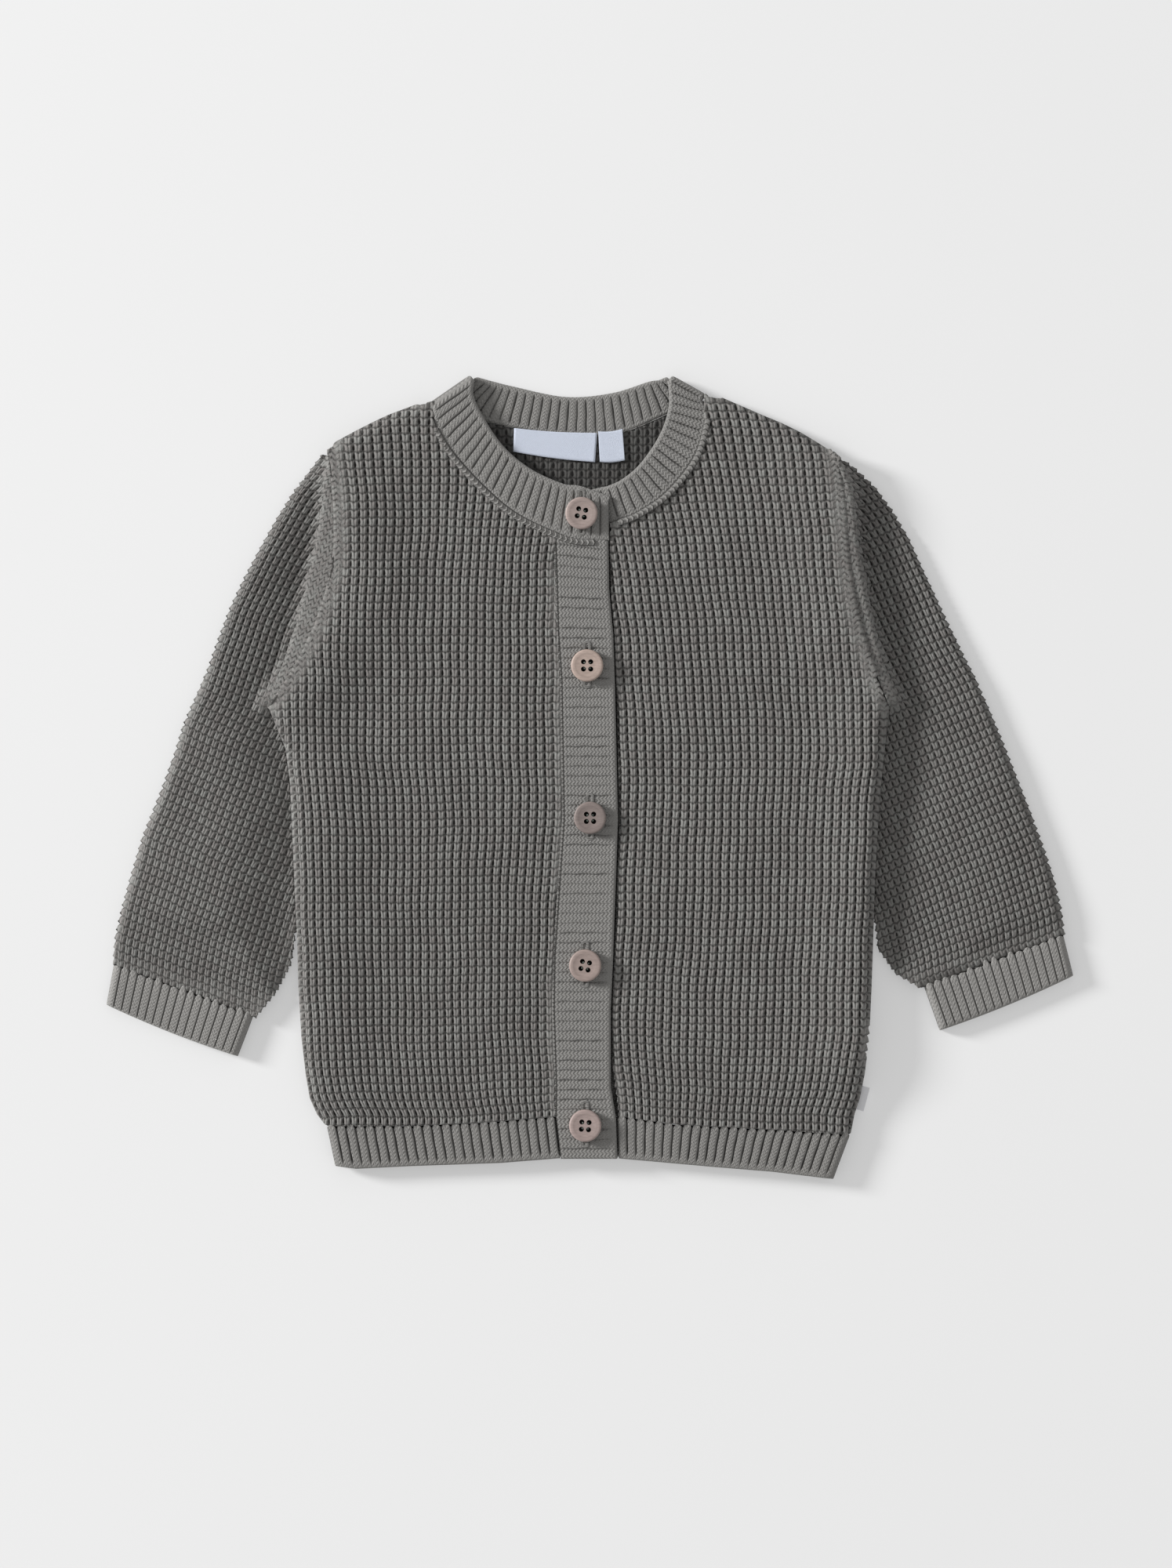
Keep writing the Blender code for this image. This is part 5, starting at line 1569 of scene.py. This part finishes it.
def chain_material(name):
    material, tree, shader = base_material(name, 0.9)
    along, across = stitch_place(tree).split()
    middle = abs(across - 0.5)
    join = (along - middle * 0.7).fraction().near_whole(0.0, 0.22)
    # painted shade at the joins of the links and down the sides of the ridge, on yarn painted 1.1
    # times lighter
    dark = (join * 0.8).most(middle.eased(0.3, 0.5) * 0.85)
    connect(mixed(dark, lit(colours().yarn, 1.1), tuple(colours().pit)), shader["Base Color"])
    bump(shader, 1.0 - join, 0.0003, 0.7)
    sheen(shader)
    return material


def thread_material(name):
    material, tree, shader = base_material(name, 0.7)
    twist = object_place(tree).waves(900.0, 1.5)
    connect(toned(twist, tuple(colours().thread), 0.3), shader["Base Color"])
    bump(shader, twist, 0.00015, 0.6)
    return material


def shade_material(name):
    """Painted shade deep in the holes of a button, on its bore walls and on the pad below."""
    material, tree, shader = base_material(name, 0.95)
    grain = object_place(tree).noise(2200.0, 3.0, 0.6)
    connect(toned(grain, tuple(colours().pit), 0.5), shader["Base Color"])
    return material


def label_material(name):
    """Woven ribbon, with its threads 0.3 and 0.24 mm apart."""
    material, tree, shader = base_material(name, 0.75)
    warp, weft = ((place * (2.0 * math.pi / pitch)).sine()
                  for place, pitch in zip(stitch_place(tree).split(), (0.3, 0.24)))
    weave = warp * weft
    tone = weave * 0.25 + unevenness(tree)
    connect(toned(tone, tuple(colours().label), 0.12), shader["Base Color"])
    bump(shader, weave, 0.00008, 0.6)
    shader["Sheen Weight"].default_value = 0.1
    return material


def plain_label_material(name):
    material, tree, shader = base_material(name, 0.75)
    weave = object_place(tree).waves(900.0)
    connect(toned(weave, SIDE_LABEL_COLOUR, 0.06), shader["Base Color"])
    return material


def button_material(number):
    row = BUTTONS[number - 1]
    material, tree, shader = base_material(f"button_shell_{number}", 0.5)
    base = tuple(min(1.0, c * t) for c, t in zip(colours().button, row.tone))
    place = object_place(tree)
    turned = place.through("ShaderNodeMapping", 0, {}, {
        "Rotation": (0.0, 0.0, 0.7 * number), "Scale": (1.0, 4.0, 1.0), "Vector": place})
    grain = turned.noise(420.0, 4.0, 0.65)
    tone = grain * 0.7 + place.noise(140.0) * 0.4
    x, y = place.through("ShaderNodeMapping", 0, {}, {
        "Location": (-row.x * MM, -row.y * MM, 0.0), "Vector": place}).split()
    out = (x * x + y * y).root()
    # the turned line is darkened towards a copy at 0.3: painted shade in it
    line = 1.0 - abs(out - TURNED_LINE).eased(0.0001, 0.0005)
    connect(mixed(line * 0.12, toned(tone, base, 0.5), lit(base, 0.3)), shader["Base Color"])
    connect(grain * 0.25 + 0.38, shader["Roughness"])
    bump(shader, grain, 0.00006, 0.5)
    shader["Specular IOR Level"].default_value = 0.35
    return material


# ---------------------------------------------------------------- the pieces
class CARDIGAN_OT_fronts(bpy.types.Operator):
    """Knit both fronts over their solids"""

    bl_idname = "cardigan.fronts"
    bl_label = "Fronts"

    def execute(self, context):
        quads = sizes().stitch_quads
        for side in ("right", "left"):
            node = f"{side}_front"
            solid = Solid(node)
            place = front_place(side, solid)
            piece = knit_panel(f"{node}_knit", solid, place,
                               (-5.0, FRONT_WALES[side] + 8.0), (-2.0, 92.0), quads,
                               others_than(node), shape_top=front_form(side, solid))
            finish_piece(piece, material_of(knit_material, "cotton_waffle", 0.89),
                         [node])
        return {"FINISHED"}


class CARDIGAN_OT_back(bpy.types.Operator):
    """Knit the back, outside down, and the inside that shows in the neck"""

    bl_idname = "cardigan.back"
    bl_label = "Back"

    def execute(self, context):
        solid = Solid("back_panel")
        place = back_place(solid)
        near = others_than("back_panel")
        quads = sizes().back_quads
        lower = knit_below(solid, place, quads, near)
        finish_piece(lower, material_of(knit_material, "cotton_waffle", 0.89),
                     ["back_panel"])
        inside = neck_inside(solid, place, sizes().stitch_quads)
        # the inside that the neck shows is the same yarn painted at 0.31 of its brightness: painted
        # shade
        finish_piece(inside, material_of(knit_material, "cotton_waffle_inside", 0.31))
        return {"FINISHED"}


def knit_below(solid, place, quads, near):
    """The back as it lies: plain above, its stitches on the side that rests."""
    piece = knit_panel("back_panel_knit", solid, place, (-3.0, BACK_WALES + 3.0),
                       (-2.0, 92.0), quads, near)
    points = np.zeros(len(piece.data.vertices) * 3)
    piece.data.vertices.foreach_get("co", points)
    points = points.reshape(-1, 3)
    points[:, 2] = KNIT_WALL * MM - points[:, 2]
    piece.data.vertices.foreach_set("co", points.ravel())
    piece.data.flip_normals()
    return piece


def neck_inside(solid, place, quads):
    """The inside of the back where the neck shows it, on top of the plain wall."""
    us, vs = stitch_grid(NECK_WALES, NECK_COURSES, quads)
    xs, ys = place(us, vs)
    inside = ~np.isnan(solid.heights(xs, ys))
    kept = inside[:-1, :-1] & inside[1:, :-1] & inside[:-1, 1:] & inside[1:, 1:]
    used = corners_of(kept)
    quad = grid_faces(used, kept)
    tops = KNIT_WALL + NECK_KNIT - NECK_KNIT_DEPTH * stitch_depth(us[used], vs[used])
    points = np.column_stack([xs[used], ys[used], tops])
    uvs = np.column_stack([us[used], vs[used]])
    faces = quad.tolist()
    all_points = [points]
    all_uvs = [uvs]
    total = len(points)
    for ring in outline_loops(quad, len(points)):
        row = points[ring].copy()
        row[:, 2] = KNIT_WALL + 0.02
        all_points.append(row)
        all_uvs.append(uvs[ring])
        under = np.arange(total, total + len(ring))
        total += len(ring)
        faces += hoop(np.array(ring), under) + flat_faces(row, under)
    piece = make_object("back_inside_knit", np.vstack(all_points), faces, np.vstack(all_uvs),
                        {"open": np.ones(total)})
    facing_out(piece)
    return piece


class CARDIGAN_OT_sleeves(bpy.types.Operator):
    """Knit both sleeves over their solids, all round"""

    bl_idname = "cardigan.sleeves"
    bl_label = "Sleeves"

    def execute(self, context):
        quads = sizes().sleeve_quads
        for side in ("right", "left"):
            node = f"{side}_sleeve"
            solid = Solid(node)
            place = sleeve_place(side, solid)
            piece = knit_panel(f"{node}_knit", solid, place, (-2.0, 30.0), (-3.0, 80.0),
                               quads, others_than(node), both_sides=True, passes=4,
                               shape_top=sleeve_form(side))
            # the sleeves are the same yarn painted at 0.83 of its brightness: painted shade
            finish_piece(piece, material_of(knit_material, "cotton_waffle_sleeve", 0.83),
                         [node])
        return {"FINISHED"}


class CARDIGAN_OT_trim(bpy.types.Operator):
    """Make the ribbed hem, cuffs, placket bands and neckband"""

    bl_idname = "cardigan.trim"
    bl_label = "Ribbed trim"

    def execute(self, context):
        material = material_of(rib_material, "cotton_rib", 1.0)
        strips = [(f"hem_{side}_front", hem_section(side), RIB_WALL, HEM_TRIM, 8)
                  for side in ("right", "left")]
        under_band = band_section(UNDER_BAND_TOP, 1.0, 0.15, UNDER_BAND_FLOOR, UNDER_BAND_WALL)
        top_band = band_section(PLACKET[0].y, 0.0, 0.0, TOP_BAND_FLOOR, RIB_WALL, 3.2)
        strips += [("hem_back", back_hem_section(), BACK_HEM_WALL - 0.3, BACK_HEM_TRIM, 6),
                   ("button_band", under_band, UNDER_BAND_WALL, BAND_TRIM, 6),
                   ("buttonhole_band", top_band, RIB_WALL, BAND_TRIM, 12),
                   ("neckband", neck_section(), RIB_WALL, NECK_TRIM, 12)]
        for node, (section, count), wall, trim, mesh_rows in strips:
            piece = rib_strip(f"{node}_rib", section, count, wall, trim, mesh_rows)
            finish_piece(piece, material, [node])
            ends = [section(n / 40) for n in range(41)]
            middles = [(seam + free) / 2.0 for seam, free, *_ in ends]
            run = sum(np.linalg.norm(b - a) for a, b in zip(middles, middles[1:]))
            deep = np.mean([np.linalg.norm(free - seam) for seam, free, *_ in ends])
        for side in ("right", "left"):
            # the cuffs are the same yarn painted 1.14 times lighter: painted light
            cuff_material = material_of(rib_material, "cotton_rib_cuff", 1.14)
            piece, width, length = make_cuff(side, cuff_material)
        return {"FINISHED"}


class CARDIGAN_OT_linking(bpy.types.Operator):
    """Lay the chain stitches that link the neckband and the placket to the cloth"""

    bl_idname = "cardigan.linking"
    bl_label = "Linked seams"

    def execute(self, context):
        material = material_of(chain_material, "cotton_chain")
        for side, band, steps, out, down, top, fall in (
                ("right", NECK_RIGHT, range(3, 41), -0.6, 0.9, 7.05, 0.02),
                ("left", NECK_LEFT, range(30), 0.6, 0.8, 6.75, 0.006)):
            rows = [smooth(band, n / 40) for n in steps]
            chain_ridge(f"neck_chain_{side}",
                        [(row.seam_x + out, row.seam_y - down) for row in rows],
                        [top - fall * n for n in range(len(rows))], *NECK_CHAIN, material)
        ys = np.linspace(PLACKET[-2].y + 1.0, PLACKET[0].y - 1.0, 80)
        chain_ridge("placket_chain", [(placket_seam(y) - 0.45, y) for y in ys],
                    [PLACKET_CHAIN_FOOT] * len(ys), *PLACKET_CHAIN, material)
        return {"FINISHED"}


class CARDIGAN_OT_buttons(bpy.types.Operator):
    """Turn five four-hole buttons, sew them on and work their buttonholes"""

    bl_idname = "cardigan.buttons"
    bl_label = "Buttons"

    def execute(self, context):
        for number, row in enumerate(BUTTONS, start=1):
            make_button(number, row)
        return {"FINISHED"}


def new_primitive(name, add, place, **settings):
    """One of Blender's primitives at a place, the only piece selected."""
    bpy.ops.object.select_all(action="DESELECT")
    add(location=place, **settings)
    piece = bpy.context.object
    piece.name = name
    return piece


def settle():
    """Puts the place, turn and size of the selected piece into its mesh."""
    bpy.ops.object.transform_apply(location=True, rotation=True, scale=True)


def apply_modifier(piece, kind, **settings):
    modifier = piece.modifiers.new(kind.lower(), kind)
    for key, value in settings.items():
        setattr(modifier, key, value)
    bpy.ops.object.modifier_apply(modifier=modifier.name)


def make_button(number, row):
    """A turned disc with a rounded rim, a shallow dish and four holes with a cross of thread."""
    radius = sizes().button_width / 2.0
    height = sizes().button_height
    floor = BUTTON_FLOOR * MM
    middle = floor + height / 2.0
    disc = new_primitive(f"button_{number}_shell", bpy.ops.mesh.primitive_cylinder_add,
                         (0.0, 0.0, middle), vertices=72, radius=radius, depth=height)
    bpy.ops.object.mode_set(mode="EDIT")
    bpy.ops.mesh.select_mode(type="FACE")
    shape = bmesh.from_edit_mesh(disc.data)
    for face in shape.faces:
        face.select_set(face.normal.z > 0.9)
    shape.select_flush_mode()
    bmesh.update_edit_mesh(disc.data)
    for share in BUTTON_INSETS:
        bpy.ops.mesh.inset(thickness=radius * share)
    bpy.ops.transform.translate(value=(0.0, 0.0, -DISH_DEPTH))
    bpy.ops.object.mode_set(mode="OBJECT")
    settle()
    apply_modifier(disc, "BEVEL", width=RIM_WIDTH, segments=4, angle_limit=math.radians(40))
    for x in (-HOLE_STEP, HOLE_STEP):
        for y in (-HOLE_STEP, HOLE_STEP):
            drill = new_primitive("drill", bpy.ops.mesh.primitive_cylinder_add, (x, y, middle),
                                  vertices=24, radius=HOLE_RADIUS, depth=height * 3.0)
            bpy.context.view_layer.objects.active = disc
            apply_modifier(disc, "BOOLEAN", object=drill, solver="EXACT")
            bpy.data.objects.remove(drill)
    threads = [make_thread(number, turn, floor + height - THREAD_DROP) for turn in (45.0, 135.0)]
    hole = make_buttonhole(number)
    shade_pad = make_shade_pad(number, floor)
    for piece in (disc, *threads, hole, shade_pad):
        bpy.ops.object.select_all(action="DESELECT")
        piece.select_set(True)
        bpy.context.view_layer.objects.active = piece
        if piece is not hole:
            piece.rotation_euler = (0.0, 0.0, math.radians(row.turn))
        piece.location = (row.x * MM, row.y * MM, 0.0)
        settle()
        bpy.ops.object.shade_smooth_by_angle(angle=math.radians(38))
    shade = material_of(shade_material, "hole_shade")
    finish_piece(disc, button_material(number), [f"button_{number}"],
                 smooth_faces=False)
    disc.data.materials.append(shade)
    # the walls of the holes get hole_shade: painted shade
    for face in disc.data.polygons:
        from_axis = math.hypot(face.center.x - row.x * MM, face.center.y - row.y * MM)
        if abs(face.normal.z) < 0.5 and from_axis < radius * 0.5:
            face.material_index = 1
    thread = material_of(thread_material, "sewing_thread")
    chain = material_of(chain_material, "cotton_chain")
    for piece, material in zip((*threads, hole, shade_pad), (thread, thread, chain, shade)):
        finish_piece(piece, material, smooth_faces=False)


def make_shade_pad(number, level):
    """A dark pad below a button: painted shade that shows through its holes."""
    pad = new_primitive(f"button_{number}_pad", bpy.ops.mesh.primitive_cylinder_add,
                        (0.0, 0.0, level - PAD_DROP), vertices=32, radius=PAD_RADIUS,
                        depth=PAD_HEIGHT)
    settle()
    apply_modifier(pad, "BEVEL", width=PAD_ROUND, segments=2)
    return pad


def make_thread(number, turn, level):
    """A strand that arches from one hole to the one across and goes down both."""
    strand = new_primitive(f"button_{number}_thread_{round(turn)}",
                           bpy.ops.mesh.primitive_circle_add, (THREAD_REACH, 0.0, level),
                           vertices=12, radius=THREAD_RADIUS, fill_type="NOTHING")
    settle()
    bpy.ops.object.mode_set(mode="EDIT")
    bpy.ops.mesh.select_all(action="SELECT")
    bpy.ops.mesh.spin(steps=16, angle=-math.pi, center=(0.0, 0.0, level), axis=(0.0, 1.0, 0.0))
    bpy.ops.mesh.select_all(action="SELECT")
    bpy.ops.transform.resize(value=(1.0, 1.25, 0.36), center_override=(0.0, 0.0, level))
    bpy.ops.mesh.select_all(action="DESELECT")
    shape = bmesh.from_edit_mesh(strand.data)
    for edge in shape.edges:
        edge.select_set(edge.is_boundary)
    bmesh.update_edit_mesh(strand.data)
    bpy.ops.mesh.edge_face_add()
    bpy.ops.mesh.select_all(action="SELECT")
    bpy.ops.mesh.normals_make_consistent(inside=False)
    bpy.ops.object.mode_set(mode="OBJECT")
    strand.rotation_euler = (0.0, 0.0, math.radians(turn))
    settle()
    return strand


def make_buttonhole(number):
    """The ring of stitches round the slit, which shows above and below its button."""
    centre = (0.0, 0.0, BUTTON_FLOOR * MM - STITCH_SINK)
    ring = new_primitive(f"buttonhole_{number}", bpy.ops.mesh.primitive_torus_add, centre,
                         major_segments=48, minor_segments=8, major_radius=STITCH_RING[0],
                         minor_radius=STITCH_RING[1])
    settle()
    bpy.ops.object.mode_set(mode="EDIT")
    bpy.ops.mesh.select_all(action="SELECT")
    bpy.ops.transform.resize(value=(1.0, 1.0, 0.5), center_override=centre)
    shape = bmesh.from_edit_mesh(ring.data)
    for vert in shape.verts:
        vert.select_set(vert.co.y > 0.00001)
    shape.select_flush_mode()
    bmesh.update_edit_mesh(ring.data)
    bpy.ops.mesh.select_mode(type="VERT")
    bpy.ops.transform.translate(value=(0.0, BUTTONHOLE_LENGTH, 0.0))
    bpy.ops.mesh.select_all(action="SELECT")
    bpy.ops.transform.translate(value=(0.0, BUTTONHOLE_SHIFT, 0.0))
    bpy.ops.object.mode_set(mode="OBJECT")
    layers = ring.data.uv_layers
    spot = layers["stitches"] if "stitches" in layers else layers.new(name="stitches")
    for loop in ring.data.loops:
        place = ring.data.vertices[loop.vertex_index].co
        spot.data[loop.index].uv = (place.y / 0.0006, 0.5 + place.x / 0.0036)
    return ring


class CARDIGAN_OT_labels(bpy.types.Operator):
    """Weave the bare labels in the neck and the side tab"""

    bl_idname = "cardigan.labels"
    bl_label = "Labels"

    def execute(self, context):
        for name, corners in (("neck_label", NECK_LABEL), ("size_label", SIZE_LABEL)):
            piece = make_label(f"{name}_ribbon", corners)
            finish_piece(piece, material_of(label_material, "woven_ribbon"),
                         [name])
            width = math.dist(corners[0], corners[1])
            length = math.dist(corners[1], corners[2])
        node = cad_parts["side_label"]
        node.data.materials.clear()
        node.data.materials.append(material_of(plain_label_material, "side_ribbon"))
        return {"FINISHED"}


def make_label(name, corners):
    """A ribbon folded double, held at its top edge and lifting a little at its fold."""
    outer = []
    inner = []
    uvs = []
    for m in range(LABEL_DOWN + 1):
        t = m / LABEL_DOWN
        middle = KNIT_WALL + LAYER_GAP + LABEL_LIFT * (1.0 - t) ** 2 + 0.4
        half = LABEL_HALF * float(rolled(np.array(t * 11.0 + 0.02), 0.5))
        for n in range(LABEL_ACROSS + 1):
            s = n / LABEL_ACROSS
            x, y = (between(between(corners[0][axis], corners[1][axis], s),
                            between(corners[3][axis], corners[2][axis], s), t)
                    for axis in (0, 1))
            y -= 0.5 * math.sin(math.pi * s)
            pucker = 0.06 * math.sin(5.0 * s + 1.0) * (1.0 - t)
            outer.append([x, y, middle + half + pucker])
            inner.append([x, y, middle - half])
            uvs.append((x, y))
    piece = make_object(name, outer + inner, wall_faces(LABEL_DOWN + 1, LABEL_ACROSS + 1),
                        uvs + uvs)
    facing_out(piece)
    return piece


# ---------------------------------------------------------------- the stage
class CARDIGAN_OT_stage(bpy.types.Operator):
    """Lay the pale floor, hang the soft light and set the camera straight above"""

    bl_idname = "cardigan.stage"
    bl_label = "Stage"

    def execute(self, context):
        bpy.ops.object.select_all(action="DESELECT")
        bpy.ops.mesh.primitive_plane_add(size=FLOOR_WIDTH, location=(0.0, 0.0, -FLOOR_DROP))
        floor = bpy.context.object
        floor.name = "floor"
        material, tree, shader = base_material("pale_floor", 0.9)
        shader["Specular IOR Level"].default_value = 0.1
        mottle = object_place(tree).noise(6.0, 3.0)
        connect(toned(mottle, tuple(colours().floor), 0.012), shader["Base Color"])
        # the floor's glow is painted light, which lifts its shadows
        shader["Emission Color"].default_value = (1.0, 1.0, 1.0, 1.0)
        shader["Emission Strength"].default_value = FLOOR_GLOW
        floor.data.materials.append(material)

        world = bpy.data.worlds.new("studio")
        world.use_nodes = True
        surround = world.node_tree.nodes["Background"].inputs
        surround["Color"].default_value = (1.0, 1.0, 1.0, 1.0)
        surround["Strength"].default_value = SURROUND
        context.scene.world = world
        context.scene.view_settings.view_transform = "Standard"

        light = bpy.data.lights.new("key_light", "AREA")
        light.shape = "DISK"
        light.size = KEY_WIDTH
        light.energy = KEY_POWER
        lamp = bpy.data.objects.new("key_light", light)
        lamp.location = KEY_PLACE
        lamp.rotation_euler = (-lamp.location).to_track_quat("-Z", "Y").to_euler()
        context.scene.collection.objects.link(lamp)

        lens = bpy.data.cameras.new("camera")
        lens.sensor_fit = "VERTICAL"
        lens.sensor_height = SENSOR
        height = sizes().camera_height
        lens.lens = SENSOR * height / VIEW_LENGTH
        camera = bpy.data.objects.new("camera", lens)
        camera.location = (*VIEW_CENTRE, height)
        context.scene.collection.objects.link(camera)
        context.scene.camera = camera
        return {"FINISHED"}


class CARDIGAN_PT_panel(bpy.types.Panel):
    bl_idname = "CARDIGAN_PT_panel"
    bl_label = "Baby Cardigan"
    bl_space_type = "VIEW_3D"
    bl_region_type = "UI"
    bl_category = "Cardigan"

    def draw(self, context):
        layout = self.layout
        for group in (context.scene.cardigan_sizes, context.scene.cardigan_colours):
            for key in group.bl_rna.properties.keys():
                if key not in ("rna_type", "name"):
                    layout.prop(group, key)
        for operator in OPERATORS:
            layout.operator(operator.bl_idname)


OPERATORS = (CARDIGAN_OT_fronts, CARDIGAN_OT_back, CARDIGAN_OT_sleeves, CARDIGAN_OT_trim,
             CARDIGAN_OT_linking, CARDIGAN_OT_buttons, CARDIGAN_OT_labels, CARDIGAN_OT_stage)
CLASSES = (CardiganSizes, CardiganColours, *OPERATORS, CARDIGAN_PT_panel)


def register():
    for each in CLASSES:
        bpy.utils.register_class(each)
    bpy.types.Scene.cardigan_sizes = bpy.props.PointerProperty(type=CardiganSizes)
    bpy.types.Scene.cardigan_colours = bpy.props.PointerProperty(type=CardiganColours)


def unregister():
    del bpy.types.Scene.cardigan_colours
    del bpy.types.Scene.cardigan_sizes
    for each in reversed(CLASSES):
        bpy.utils.unregister_class(each)


def main():
    register()
    bpy.ops.cardigan.stage()
    bpy.ops.cardigan.back()
    bpy.ops.cardigan.fronts()
    bpy.ops.cardigan.sleeves()
    bpy.ops.cardigan.trim()
    bpy.ops.cardigan.linking()
    bpy.ops.cardigan.buttons()
    bpy.ops.cardigan.labels()


if __name__ == "__main__":
    main()
